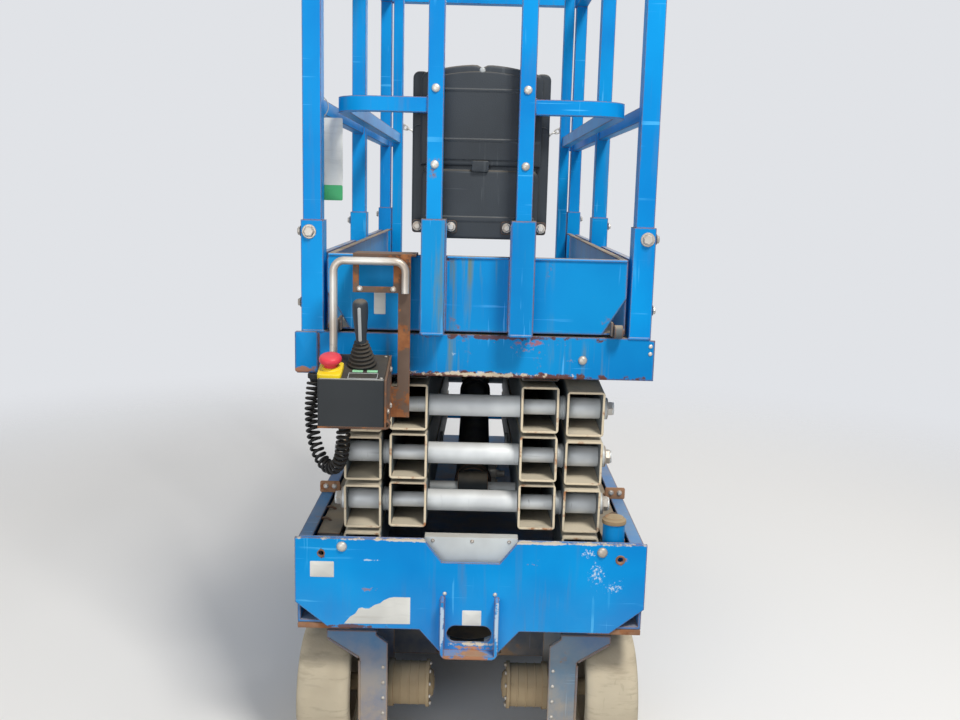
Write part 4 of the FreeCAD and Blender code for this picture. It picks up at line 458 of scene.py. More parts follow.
@dataclass(frozen=True)
class Metal:
    """Bare or plated steel with smudges, worn edges and rust in patches."""

    name: str
    base: Colour
    stain: Colour
    metallic: float = 0.85
    rough: float = 0.35
    rust: float = 0.1
    up: float = 0.2
    low: float = 0.2
    radius: float = 0.002
    height: float = 0.5
    gloss: float = GLOSS

    def make(self, fx: Effects) -> bpy.types.Material:
        """Build the material."""
        base = Layers(self, fx, 9.0, 40.0, 0.45, 0.5)
        w, place = base.w, base.place
        colour = w.mix(base.broad, self.base, self.stain)
        colour = w.mix(base.scratch, colour, scaled(self.stain, 0.55))
        blots = w.ramp(w.noise(place, 14.0, 7.0, 0.7), 0.74 - self.rust * 0.5, 0.8 - self.rust * 0.5)
        rusty = w.larger(blots, w.times(base.edge, self.rust * 3.0, clamp=True))
        colour = w.mix(rusty, colour, w.mix(w.noise(place, 70.0, 4.0), RUST_DARK, RUST_LIGHT))
        colour = w.mix(w.times(base.dust, 0.6), colour, DUST)
        cover = w.larger(rusty, base.dust)
        w.feed(base.shader.inputs["Metallic"], w.times(w.minus(1.0, cover, clamp=True), self.metallic))
        return base.close(self, colour, w.times(cover, 0.4), 0.12, Strength=0.25, Distance=0.0004, Height=base.fine)


@dataclass(frozen=True)
class Moulded:
    """Moulded plastic or rubber with a fine grain, rubbed pale at its edges and dusty."""

    name: str
    base: Colour
    rubbed: Colour
    rough: float = 0.5
    grain: float = 420.0
    depth: float = 0.0003
    up: float = 0.35
    low: float = 0.3
    height: float = 0.5
    radius: float = 0.003
    scuffs: float = 0.0
    gloss: float = GLOSS

    def make(self, fx: Effects) -> bpy.types.Material:
        """Build the material."""
        base = Layers(self, fx, 6.0, 45.0, 0.5, 0.35)
        w, place = base.w, base.place
        colour = w.mix(base.broad, self.base, scaled(self.base, 0.72))
        if self.scuffs:
            drawn = w.add("Mapping", Vector=place, Rotation=(0.5, 0.7, 0.4), Scale=(12.0, 12.0, 70.0)).outputs[0]
            marks = w.ramp(w.noise(drawn, 1.0, 5.0, 0.65), 0.50, 0.66)
            colour = w.mix(w.times(marks, self.scuffs), colour, scaled(self.base, 0.5))
        colour = w.mix(w.larger(w.times(base.edge, 0.55), w.times(base.scratch, 0.6)), colour, self.rubbed)
        colour = w.mix(w.times(base.dust, 0.55), colour, DUST)
        grain = w.add("TexVoronoi", {"feature": "F1"}, Vector=place, Scale=self.grain).outputs["Distance"]
        return base.close(self, colour, w.times(base.dust, 0.3), 0.08, Strength=0.5, Distance=self.depth,
                          Height=grain)


AZURE = srgb(0, 128, 204)
SKY = srgb(0, 152, 224)

BEAM_SPOTS = (
    Spot((0.04, -0.775, 0.9295), (0.36, 0.03, 0.010), RUST_DARK, 0.95, 46.0),
    Spot((0.02, -0.775, 0.9325), (0.22, 0.03, 0.007), CREAM, 0.75, 90.0, 0.85),
    Spot((0.06, -0.775, 1.0125), (0.26, 0.03, 0.008), RUST_DARK, 0.9, 70.0, 0.8),
    Spot((0.12, -0.775, 1.0020), (0.09, 0.03, 0.014), srgb(176, 92, 66), 0.75, 60.0, 0.6),
    Spot((0.10, -0.775, 0.990), (0.08, 0.03, 0.022), RUST_LIGHT, 0.7, 80.0, 0.35),
    Spot((0.20, -0.775, 0.965), (0.07, 0.03, 0.034), RUST_LIGHT, 0.5, 70.0, 0.2),
    Spot((-0.05, -0.775, 0.975), (0.06, 0.03, 0.030), SCUFF, 0.5, 90.0, 0.1),
    Spot((-0.355, -0.78, 0.935), (0.03, 0.03, 0.012), RUST_LIGHT, 0.9, 50.0),
)
PLATE_SPOTS = (
    Spot((0.0, -0.79, 0.5665), (0.45, 0.03, 0.004), CREAM, 0.8, 40.0),
    Spot((0.275, -0.79, 0.500), (0.034, 0.02, 0.050), SCUFF, 0.8, 150.0, 0.50),
    Spot((0.315, -0.79, 0.470), (0.045, 0.02, 0.030), SCUFF, 0.75, 170.0, 0.42),
    Spot((0.255, -0.79, 0.546), (0.030, 0.02, 0.016), SCUFF, 0.8, 150.0, 0.55),
    Spot((-0.215, -0.79, 0.520), (0.050, 0.02, 0.004), SCUFF, 0.7, 60.0, 0.6),
    Spot((-0.225, -0.79, 0.452), (0.040, 0.02, 0.010), RUST_LIGHT, 0.7, 120.0, 0.45),
    Spot((-0.26, -0.79, 0.366), (0.080, 0.02, 0.006), RUST_DARK, 0.9, 45.0),
    Spot((0.0, -0.79, 0.330), (0.060, 0.02, 0.006), CREAM, 0.9, 40.0),
    Spot((0.0, -0.81, 0.311), (0.060, 0.05, 0.010), RUST_LIGHT, 0.95, 30.0),
    Spot((0.0, -0.80, 0.322), (0.052, 0.05, 0.007), srgb(204, 140, 84), 0.9, 24.0),
    Spot((-0.062, -0.823, 0.39), (0.012, 0.012, 0.06), SCUFF, 0.75, 60.0),
    Spot((0.062, -0.823, 0.39), (0.012, 0.012, 0.06), SCUFF, 0.75, 60.0),
    Spot((0.325, -0.79, 0.533), (0.016, 0.02, 0.014), RUST_LIGHT, 0.9, 90.0),
    Spot((-0.325, -0.79, 0.533), (0.014, 0.02, 0.012), RUST_DARK, 0.9, 90.0),
    Spot((0.135, -0.79, 0.520), (0.030, 0.02, 0.018), RUST_LIGHT, 0.7, 110.0, 0.35),
)


class Finish(Enum):
    """Every finish on the machine."""

    BLUE = Paint("blue_paint", AZURE, SKY, rust=0.10, wear=0.40, up=0.85)
    BLUE_WORN = Paint("blue_paint_worn", srgb(0, 120, 190), srgb(6, 142, 208), wear=0.58, radius=0.006, rust=0.22,
                      spots=BEAM_SPOTS, floor=srgb(112, 112, 108), up=0.7, streak=1.0, run=srgb(112, 128, 112))
    BLUE_LOW = Paint("blue_paint_low", srgb(0, 114, 184), srgb(8, 136, 200), wear=0.5, radius=0.005, rust=0.2,
                     low=0.6)
    # Near-black blue of the chassis spine behind the front plate: painted shade, not a paint colour of its own.
    BLUE_UNDER = Paint("blue_paint_under", srgb(12, 62, 98), srgb(26, 80, 116), wear=0.5, radius=0.005, rust=0.25,
                       low=0.7)
    BLUE_GEAR = Paint("blue_paint_gear", srgb(16, 98, 158), srgb(70, 124, 160), wear=0.62, radius=0.007, rust=0.3,
                      low=1.25, height=0.42)
    PLATE = Paint("blue_paint_plate", AZURE, SKY, wear=0.52, radius=0.004, rust=0.10, low=0.25, spots=PLATE_SPOTS)
    # The high up share and pale cream settle colour are partly dust and partly painted sunlight on the tubes' upward
    # faces.
    ARM = Paint("arm_paint", srgb(100, 110, 114), srgb(124, 130, 132), wear=0.66, radius=0.004, rust=0.08, up=1.35,
                rough=0.5, ends=CREAM, settle=srgb(222, 208, 182))
    # Dark grey with little dust: on the lift cylinder's barrel and gland rings this is painted shade. It also colours
    # the manual box's clamps.
    DARK = Paint("dark_paint", srgb(46, 52, 56), srgb(62, 68, 72), wear=0.45, radius=0.003, rust=0.08, up=0.25,
                 low=0.1, rough=0.45)
    FRAME_GREY = Paint("frame_grey", srgb(84, 90, 94), srgb(108, 112, 112), wear=0.55, radius=0.004, rust=0.18,
                       up=0.7, rough=0.5)
    PIN = Metal("pin_steel", srgb(228, 232, 232), srgb(196, 200, 202), metallic=0.15, rough=0.42, rust=0.04)
    BOLT = Metal("bolt_steel", srgb(204, 202, 196), srgb(168, 160, 148), metallic=0.55, rough=0.38, rust=0.16)
    CHROME = Metal("rod_chrome", srgb(210, 212, 214), srgb(180, 182, 184), metallic=1.0, rough=0.16, rust=0.0)
    HOOP = Metal("hoop_steel", srgb(206, 204, 198), srgb(168, 156, 142), metallic=0.6, rough=0.34, rust=0.16)
    # Dark brown of the control bracket, its curl and the tub's cable hooks: partly rust, partly painted shade.
    BRACKET = Metal("bracket_steel", srgb(108, 90, 78), srgb(76, 58, 48), metallic=0.25, rough=0.6, rust=0.42)
    RUSTY = Metal("rusty_plate", srgb(172, 132, 102), srgb(124, 86, 64), metallic=0.1, rough=0.72, rust=0.45,
                  up=0.4)
    CAST = Metal("motor_cast", srgb(178, 160, 128), srgb(132, 112, 84), metallic=0.08, rough=0.74, rust=0.26,
                 up=0.6, low=1.0)
    RIM = Paint("rim_paint", srgb(206, 204, 196), srgb(180, 176, 166), wear=0.45, rust=0.2, low=0.7)
    TYRE = Moulded("tyre_rubber", srgb(196, 186, 164), srgb(132, 124, 108), rough=0.85, grain=150.0, depth=0.0005,
                   up=0.3, low=0.35, scuffs=0.45)
    GUARD = Metal("guard_sheet", srgb(206, 212, 212), srgb(184, 188, 188), metallic=0.2, rough=0.5, rust=0.02,
                  up=0.5)
    PLASTIC = Moulded("black_plastic", srgb(50, 56, 62), srgb(104, 110, 114), rough=0.46, up=0.4)
    CASE = Moulded("black_case", srgb(36, 40, 43), srgb(150, 146, 138), rough=0.42, grain=900.0, depth=0.0001,
                   up=0.2, radius=0.002)
    RUBBER = Moulded("bellows_rubber", srgb(30, 31, 32), srgb(70, 70, 70), rough=0.55, grain=700.0, depth=0.0001,
                     up=0.2)
    RED = Moulded("stop_red", srgb(222, 62, 78), srgb(232, 130, 130), rough=0.35, grain=900.0, depth=0.0001, up=0.1,
                  low=0.0)
    YELLOW = Moulded("stop_yellow", srgb(244, 212, 24), srgb(240, 226, 130), rough=0.4, grain=900.0, depth=0.0001,
                     up=0.1, low=0.0)
    BATTERY = Moulded("battery_case", srgb(34, 34, 36), srgb(70, 70, 72), rough=0.5)
    LABEL = Moulded("blank_label", srgb(232, 232, 226), srgb(160, 150, 134), rough=0.45, grain=600.0, depth=0.00005,
                    up=0.1, low=0.0, radius=0.0003, scuffs=0.18)
    GREEN = Moulded("tag_green", srgb(70, 170, 110), srgb(150, 200, 160), rough=0.45, grain=600.0, depth=0.00005,
                    up=0.1, low=0.0, radius=0.0004)
    WINDOW = Moulded("pale_window", srgb(150, 214, 168), srgb(200, 236, 210), rough=0.2, grain=500.0, depth=0.00005,
                     up=0.1, low=0.0, radius=0.0004)
    PALE = Moulded("pale_trim", srgb(176, 180, 180), srgb(220, 220, 216), rough=0.35, grain=700.0, depth=0.00005,
                   up=0.1, low=0.0, radius=0.0004)
    CHAIN = Metal("chain_steel", srgb(224, 224, 220), srgb(188, 184, 176), metallic=0.4, rough=0.36, rust=0.08,
                  radius=0.0006)
    CORD = Moulded("cord_black", srgb(20, 20, 21), srgb(60, 60, 60), rough=0.45, grain=900.0, depth=0.0001, up=0.15,
                   low=0.0)


class Paintbox:
    """Materials by finish, each built the first time it is asked for."""

    def __init__(self) -> None:
        """Build the shared effects."""
        self.effects = Effects()
        self.made: dict[Finish, bpy.types.Material] = {}

    def get(self, finish: Finish) -> bpy.types.Material:
        """The material of one finish."""
        if finish not in self.made:
            self.made[finish] = finish.value.make(self.effects)
        return self.made[finish]

    def dress(self, node: str, finish: Finish) -> None:
        """Give a node of the frame its finish."""
        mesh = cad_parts[node].data
        mesh.materials.clear()
        mesh.materials.append(self.get(finish))


def grid_faces(rows: int, columns: int, close_rows: bool, close_columns: bool) -> Array:
    """Corner numbers of the quads of a grid of points.

    Args:
        rows: Number of rings.
        columns: Points in a ring.
        close_rows: Whether the last ring joins the first.
        close_columns: Whether each ring is closed.

    Returns:
        One row of four point numbers per quad.
    """
    r = np.arange(rows if close_rows else rows - 1)[:, None]
    c = np.arange(columns if close_columns else columns - 1)[None, :]
    down, across = (r + 1) % rows, (c + 1) % columns
    corners = [r * columns + c, r * columns + across, down * columns + across, down * columns + c]
    return np.stack([np.broadcast_to(k, (len(r), c.shape[1])) for k in corners], axis=-1).reshape(-1, 4)


@dataclass
class Surface:
    """Points and quads gathered from several grids, ready to become one piece."""

    points: list[Array] = field(default_factory=list)
    quads: list[Array] = field(default_factory=list)
    count: int = 0

    def grid(self, points: Array, close_rows: bool = False, close_columns: bool = True,
             caps: bool = True) -> "Surface":
        """Add a grid of points, and close its first and last ring with a fan of quads to their middles.

        Args:
            points: Rings of points, of shape rows, columns, 3.
            close_rows: Whether the last ring joins the first.
            close_columns: Whether each ring is closed.
            caps: Whether open ends are closed.

        Returns:
            This surface.
        """
        if caps and close_columns and not close_rows:
            ends = [np.repeat(points[k].mean(0)[None, None], points.shape[1], 1) for k in (0, -1)]
            points = np.concatenate([ends[0], points, ends[1]])
        rows, columns = points.shape[:2]
        self.quads.append(grid_faces(rows, columns, close_rows, close_columns) + self.count)
        self.points.append(points.reshape(-1, 3))
        self.count += rows * columns
        return self

    def turn(self, profile: Sequence[Point], centre: Point, direction: Point, sides: int = 28, phase: float = 0.0,
             closed: bool = False) -> "Surface":
        """Add a turned form, see turned; its profile is a closed loop, or else it is capped at both ends."""
        return self.grid(turned(profile, centre, direction, sides, phase), close_rows=closed)

    def slab(self, *form: object) -> "Surface":
        """Add a plate of a drawn outline, see slab."""
        return self.grid(slab(*form), caps=False)

    def ring(self, *form: object) -> "Surface":
        """Add a wire bent to a circle, see ring."""
        return self.grid(ring(*form), close_rows=True)

    def rod(self, path: Array, radius: float, sides: int, up: Point) -> "Surface":
        """Add a round bar along a path, see sweep."""
        return self.grid(sweep(path, circle(radius, sides), up))

    def mesh(self, name: str, smooth: float = 35.0) -> bpy.types.Object:
        """Make the object, with its doubles merged, its normals outward and its sharp edges kept.

        Args:
            name: The piece's name.
            smooth: Edges sharper than this many degrees stay sharp.

        Returns:
            The new object at the origin.
        """
        mesh = bpy.data.meshes.new(name)
        mesh.from_pydata(np.concatenate(self.points), [], np.concatenate(self.quads))
        obj = bpy.data.objects.new(name, mesh)
        bpy.context.scene.collection.objects.link(obj)
        tidy_mesh(mesh, smooth)
        return obj


def tidy_mesh(mesh: bpy.types.Mesh, smooth: float) -> None:
    """Merge doubles, drop empty faces, turn faces outward and mark sharp edges."""
    work = bmesh.new()
    work.from_mesh(mesh)
    bmesh.ops.remove_doubles(work, verts=work.verts, dist=1e-6)
    bmesh.ops.dissolve_degenerate(work, edges=work.edges, dist=1e-7)
    bmesh.ops.recalc_face_normals(work, faces=work.faces)
    work.to_mesh(mesh)
    work.free()
    mesh.shade_smooth()
    mesh.set_sharp_from_angle(angle=math.radians(smooth))


def unit(direction: Point) -> Array:
    """A direction at length 1."""
    direction = np.asarray(direction, float)
    return direction / np.linalg.norm(direction)


def turned(profile: Sequence[Sequence[float]], centre: Point, direction: Point, sides: int = 28,
           phase: float = 0.0) -> Array:
    """Points of a turned form: each profile point (along, out) goes round the direction in a circle.

    Args:
        profile: Rows of distance along the direction and distance out from it.
        centre: The point that along counts from.
        direction: The axis.
        sides: Points in a circle.
        phase: Angle of the first point, in radians.

    Returns:
        Rings of points.
    """
    rows = np.asarray(profile, float)
    w = unit(direction)
    u = unit(np.cross(Axis.Z if abs(w[2]) < 0.9 else Axis.X, w))
    turn = np.linspace(0, TAU, sides, endpoint=False) + phase
    ring = np.cos(turn)[:, None] * u + np.sin(turn)[:, None] * np.cross(w, u)
    return np.asarray(centre, float) + rows[:, :1, None] * w + rows[:, 1:, None] * ring


def frames_along(path: Array, up: Point) -> tuple[Array, Array]:
    """Two unit vectors square to a path at each of its points: up less its part along the path, and their cross.

    Args:
        path: Points of the path.
        up: A direction that the path never runs along.

    Returns:
        The two sets of vectors.
    """
    tangent = np.gradient(path, axis=0)
    tangent /= np.linalg.norm(tangent, axis=1, keepdims=True)
    side = np.asarray(up, float) - tangent * (tangent @ np.asarray(up, float))[:, None]
    side /= np.linalg.norm(side, axis=1, keepdims=True)
    return side, np.cross(tangent, side)


def sweep(path: Array, outline: Array, up: Point) -> Array:
    """Points of an outline carried along a path: path + u side + v across.

    Args:
        path: Points of the path.
        outline: Points (u, v) of the section, or one such set per path point.
        up: A direction that the path never runs along.

    Returns:
        Rings of points.
    """
    side, across = frames_along(path, up)
    outline = np.broadcast_to(outline, (len(path), *np.shape(outline)[-2:]))
    return path[:, None] + outline[..., :1] * side[:, None] + outline[..., 1:] * across[:, None]


def circle(radius: float, sides: int = 12) -> Array:
    """Points of a circle of a radius."""
    turn = np.linspace(0, TAU, sides, endpoint=False)
    return radius * np.stack([np.cos(turn), np.sin(turn)], axis=-1)


def rounded_rectangle(wide: float, tall: float, radius: float, steps: int = 5) -> Array:
    """Outline of a rectangle about the origin whose corners are quarter circles of a radius."""
    turn = np.linspace(0, math.pi / 2, steps)
    angles = np.concatenate([turn + k * math.pi / 2 for k in range(4)])
    signs = np.repeat([(1, 1), (-1, 1), (-1, -1), (1, -1)], steps, axis=0)
    bends = np.stack([np.cos(angles), np.sin(angles)], axis=-1)
    return signs * (wide / 2 - radius, tall / 2 - radius) + radius * bends


def slab(outline: Sequence[Sequence[float]], centre: Point, across: Point, up: Point, thick: float,
         edge: float = 0.001, steps: int = 3, hub: Sequence[float] | None = None) -> Array:
    """Rings of a plate with rounded rims: at depth edge (1 - cos a) its outline lies edge (1 - sin a) inside.

    Args:
        outline: Points (u, v), counter-clockwise, that the hub sees all of.
        centre: Place of the outline's origin in the plate's middle.
        across: Direction of u.
        up: Direction of v.
        thick: The plate's thickness.
        edge: Radius of its rims.
        steps: Rings in a rim.
        hub: Middle of its faces, else the outline's mean.

    Returns:
        Rings of points, closed at both ends.
    """
    flat = np.asarray(outline, float)
    sides = (np.roll(flat, -1, 0) - flat, flat - np.roll(flat, 1, 0))
    ahead, behind = (k[:, ::-1] * (1, -1) / np.maximum(np.linalg.norm(k, axis=1, keepdims=True),
                                                       1e-12) for k in sides)
    corner = (ahead + behind) / np.maximum(1 + (ahead * behind).sum(1, keepdims=True), 0.2)
    angle = np.linspace(0, math.pi / 2, steps)
    shrink = edge * (1 - np.sin(angle))
    depth = edge * (1 - np.cos(angle)) - thick / 2
    shrink, depth = np.concatenate([shrink, shrink[::-1]]), np.concatenate([depth, -depth[::-1]])
    rings = flat - shrink[:, None, None] * corner
    middle = np.broadcast_to(flat.mean(0) if hub is None else np.asarray(hub, float), flat.shape)
    rings = np.concatenate([middle[None], rings, middle[None]])
    depth = np.concatenate([depth[:1], depth, depth[-1:]])
    u, v = unit(across), unit(up)
    return np.asarray(centre,
                      float) + rings[..., :1] * u + rings[..., 1:] * v + depth[:, None, None] * np.cross(u, v)


def plate(surface: Surface, centre: Point, size: tuple[float, float, float], corner: float = 0.003,
          edge: float = 0.001, facing: Point = Axis.FRONT) -> None:
    """Add a rounded plate that faces one way.

    Args:
        surface: The surface to add to.
        centre: The plate's middle.
        size: Its width, height and thickness.
        corner: Radius of its corners.
        edge: Radius of its rims.
        facing: The way that it faces.
    """
    across, up = {Axis.X: (Axis.Y, Axis.Z), Axis.LEFT: (Axis.Y, Axis.Z), Axis.Z: (Axis.X, Axis.Y),
                  Axis.DOWN: (Axis.X, Axis.Y)}.get(facing, (Axis.X, Axis.Z))
    outline = rounded_rectangle(size[0], size[1], min(corner, size[0] * 0.49, size[1] * 0.49))
    surface.grid(slab(outline, centre, across, up, size[2], edge), caps=False)


class Fastener(Enum):
    """Heads of fasteners: parts, each a profile of (height, radius) in head radii with its number of sides."""

    HEX = ((((0, 0), (0, 1.25), (0.1, 1.3), (0.18, 1.22), (0.18, 0)), 24),
           (((0.15, 0), (0.15, 1.0), (0.6, 1.0), (0.76, 0.82), (0.76, 0)), 6))
    DOME = ((((0, 0), (0, 1.0), (0.12, 1.0), (0.34, 0.86), (0.5, 0.6), (0.58, 0.3), (0.6, 0)), 24),)
    NUT = ((((0, 0), (0, 1.25), (0.1, 1.3), (0.18, 1.22), (0.18, 0)), 24),
           (((0.15, 0), (0.15, 1.0), (0.85, 1.0), (1.0, 0.84), (1.0, 0)), 6),
           (((0.9, 0), (0.9, 0.5), (1.3, 0.5), (1.4, 0.4), (1.4, 0)), 16))
    SOCKET = ((((0, 0), (0, 1), (0.8, 1), (0.95, 0.88), (0.95, 0.5), (0.5, 0.45), (0.5, 0)), 18),)


def fasten(surface: Surface, kind: Fastener, places: Iterable[Point], direction: Point, radius: float) -> None:
    """Set fasteners on a surface.

    Args:
        surface: The surface to add to.
        kind: The heads' kind.
        places: Where their heads rest.
        direction: The way that they face.
        radius: Their heads' radius.
    """
    for number, place in enumerate(places):
        for profile, sides in kind.value:
            surface.grid(turned(np.array(profile) * radius, place, direction, sides, 0.7 * number))


def weld(surface: Surface, start: Point, end: Point, radius: float = 0.003, up: Point = (0.3, 0.5, 0.81)) -> None:
    """Weld bead along a line: its radius ripples by r (1 + 0.16 cos(2 pi s / 1.5 r)) and fades at both ends.

    Args:
        surface: The surface to add to.
        start: The bead's start.
        end: The bead's end.
        radius: Its radius.
        up: A direction that it doesn't run along.
    """
    start, end = np.asarray(start, float), np.asarray(end, float)
    long = float(np.linalg.norm(end - start))
    share = np.linspace(0, 1, max(8, int(long / radius * 2.2)))
    fade = np.sqrt(np.clip(np.minimum(share, 1 - share) * long / radius, 0.05, 1))
    bulge = fade * (1 + 0.16 * np.cos(TAU * share * long / (radius * 1.5)))
    surface.grid(sweep(start + share[:, None] * (end - start), circle(radius, 8) * bulge[:, None, None], up))


def spline_points(route: Sequence[Point], count: int) -> Array:
    """Evenly spaced points read from the smooth spline through a route of x, station and height."""
    curve = bpy.data.curves.new("route", "CURVE")
    curve.dimensions = "3D"
    curve.resolution_u = 24
    spline = curve.splines.new("NURBS")
    spline.points.add(len(route) - 1)
    spline.points.foreach_set("co", [value for x, y, z in route for value in (x, station(y), z, 1.0)])
    spline.order_u = 3
    spline.use_endpoint_u = True
    holder = bpy.data.objects.new("route", curve)
    bpy.context.scene.collection.objects.link(holder)
    bpy.context.view_layer.update()
    mesh = bpy.data.meshes.new_from_object(holder.evaluated_get(bpy.context.evaluated_depsgraph_get()))
    points = np.empty(len(mesh.vertices) * 3)
    mesh.vertices.foreach_get("co", points)
    bpy.data.objects.remove(holder)
    points = points.reshape(-1, 3)
    run = np.concatenate([[0], np.cumsum(np.linalg.norm(np.diff(points, axis=0), axis=1))])
    even = np.linspace(0, run[-1], count)
    return np.stack([np.interp(even, run, points[:, k]) for k in range(3)], axis=-1)


@dataclass
class Machine:
    """What every sub-assembly needs: the paintbox and the list of pieces made so far."""

    paint: Paintbox
    made: list[str] = field(default_factory=list)

    def keep(self, surface: Surface, name: str, body: str, finish: Finish, slot: str | None = None,
             stands_for: Sequence[str] = (), smooth: float = 35.0) -> bpy.types.Object:
        """Make a piece of a surface, finish it and let it ride on a body.

        Args:
            surface: The piece's surface.
            name: Its name.
            body: The body it moves with.
            finish: Its finish.
            slot: The record's material slot; not used.
            stands_for: The nodes that it replaces.
            smooth: Edges sharper than this many degrees stay sharp.

        Returns:
            The new piece.
        """
        obj = surface.mesh(name, smooth)
        obj.data.materials.append(self.paint.get(finish))
        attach(obj, body)
        if stands_for:
            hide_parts(*stands_for)
        self.made.append(obj.name)
        LOG.info("%s rides on %s", obj.name, body)
        return obj


@dataclass
class Part:
    """A sub-assembly that adds its pieces to the machine."""

    machine: Machine

    def keep(self, *args: object, **kwargs: object) -> bpy.types.Object:
        """Make and mount one piece, see Machine.keep."""
        return self.machine.keep(*args, **kwargs)


@dataclass
class CurlyCord(Part):
    """Coiled control cord from under the platform's beam to the control box: a helix round a hanging route."""

    wire: float = 0.0032
    coil: float = 0.0118
    turns: float = 29.0
    route: tuple[tuple[float, float, float], ...] = (
        (-0.338, -0.006, 0.9265), (-0.345, -0.008, 0.880), (-0.3435, -0.020, 0.823), (-0.331, -0.038, 0.771),
        (-0.306, -0.060, 0.739), (-0.280, -0.084, 0.744), (-0.2635, -0.106, 0.790), (-0.264, -0.106, 0.8485))

    def build(self) -> None:
        """Carry the wire's round section along centre + coil (side cos a + across sin a)."""
        line = spline_points(self.route, 1300)
        normal = np.linalg.svd(line - line.mean(0))[2][2]
        side, across = frames_along(line, normal)
        share = np.linspace(0, 1, len(line))
        grow = np.sin(np.clip(np.minimum(share, 1 - share) / 0.05, 0, 1) * math.pi / 2) ** 2
        rate = grow ** 1.5 * (1 + 0.10 * np.sin(share * 9.0 + 0.6)) + 0.02
        turn = TAU * self.turns * (np.cumsum(rate) - rate[0]) / (rate.sum() - rate[0])
        swell = self.coil * (0.02 + 0.98 * grow)
        helix = line + swell[:, None] * (side * np.cos(turn)[:, None] + across * np.sin(turn)[:, None])
        obj = self.keep(Surface().rod(helix, self.wire, 10, normal), "curly_cord_coil", "extension", Finish.CORD,
                        "cord_black", ["curly_cord"], SOFT)


@dataclass
class DriveHose(Part):
    """Hose that comes out of the tub's floor, hangs in a bow and goes back up, with two grey sleeves."""

    radius: float = 0.0065
    sleeves: tuple[tuple[float, float], ...] = ((0.20, 0.36), (0.64, 0.82))
    route: tuple[tuple[float, float, float], ...] = (
        (-0.104, 0.066, 0.3695), (-0.104, 0.065, 0.346), (-0.084, 0.062, 0.318), (-0.044, 0.059, 0.302),
        (0.002, 0.058, 0.296), (0.046, 0.059, 0.303), (0.078, 0.062, 0.319), (0.094, 0.065, 0.346),
        (0.094, 0.066, 0.3695))

    def build(self) -> None:
        """Carry the hose's round section along its spline, and an oval one along parts of it for the sleeves."""
        line = spline_points(self.route, 160)
        obj = self.keep(Surface().rod(line, self.radius, 16, Axis.Y), "drive_hose_tube", "chassis", Finish.CORD,
                        "cord_black", ["drive_hose"], SOFT)
        wraps = Surface()
        for low, high in self.sleeves:
            part = line[int(low * 160):int(high * 160)]
            swell = np.sin(np.linspace(0, math.pi, len(part))) ** 0.35
            outline = circle(self.radius + 0.0007, 16) * (1.25, 1.0)
            wraps.grid(sweep(part, outline * (0.82 + 0.18 * swell)[:, None, None], Axis.Y))
        ends = Surface()
        profile = ((0, 0), (0, 0.0095), (0.004, 0.0105), (0.012, 0.0105), (0.014, 0.0088), (0.022, 0.0088),
                   (0.0235, 0.0066))
        for end in (line[0], line[-1]):
            ends.turn(profile, end, Axis.DOWN, 20)
        wraps = self.keep(wraps, "drive_hose_sleeves", "chassis", Finish.PALE, smooth=SOFT)
        ends = self.keep(ends, "drive_hose_ends", "chassis", Finish.BOLT)


@dataclass
class EntryChain(Part):
    """Slack chain across the entry, made of oval links that alternate by a quarter turn, with an eye at each end."""

    half: float = 0.288
    height: float = 1.541
    sag: float = 0.070
    along: float = 1.572
    wire: float = 0.0028
    links: int = 27

    def build(self) -> None:
        """Each link is an oval path, set at its share of the sag line and turned along it."""
        share = (np.arange(self.links) + 0.5) / self.links * 2 - 1
        slope = 2 * self.sag * share / self.half
        pitch = 2 * self.half / self.links
        turn = np.linspace(0, TAU, 20, endpoint=False)
        reach, wide = pitch * 0.5 + self.wire * 1.6, self.wire * 2.6
        squash = np.sign(np.cos(turn)) * np.abs(np.cos(turn)) ** 0.8
        oval = np.stack([reach * squash, wide * np.sin(turn)], axis=-1)
        surface = Surface()
        for index in range(self.links):
            lean = np.array([1.0, 0.0, slope[index]]) / math.hypot(1, slope[index])
            other = np.array([0.0, 1.0, 0.0]) if index % 2 else np.cross(lean, [0.0, 1.0, 0.0])
            middle = np.array([share[index] * self.half, station(self.along),
                               self.height - self.sag * (1 - share[index] ** 2)])
            path = middle + oval[:, :1] * lean + oval[:, 1:] * other
            out = oval / np.linalg.norm(oval, axis=1, keepdims=True)
            radial = out[:, :1] * lean + out[:, 1:] * other
            section = circle(self.wire, 6)
            rings = path[:, None] + section[None, :, :1] * radial[:, None]
            surface.grid(rings + section[None, :, 1:] * np.cross(lean, other), close_rows=True)
        self.keep(surface, "entry_chain_links", "platform", Finish.CHAIN, "chain_steel", ["entry_chain"],
                  smooth=SOFT)
        eyes = Surface()
        for side in Side:
            face = (side.value * (self.half + 0.0016), station(self.along), self.height)
            plate(eyes, face, (0.024, 0.040, 0.003), 0.008, 0.001, Axis.X)
            eyes.ring(face, 0.009, 0.0028, Axis.Y)
        self.keep(eyes, "entry_chain_eyes", "platform", Finish.BOLT)


def ring(centre: Point, radius: float, wire: float, axis: Point, sides: int = 24) -> Array:
    """Points of a round wire bent to a circle: centre + (radius + wire cos b) out + wire sin b axis."""
    path = turned(((0.0, radius),), centre, axis, sides)[0]
    out = (path - np.asarray(centre, float)) / radius
    section = circle(wire, 8)
    return path[:, None] + section[None, :, :1] * out[:, None] + section[None, :, 1:] * unit(axis)


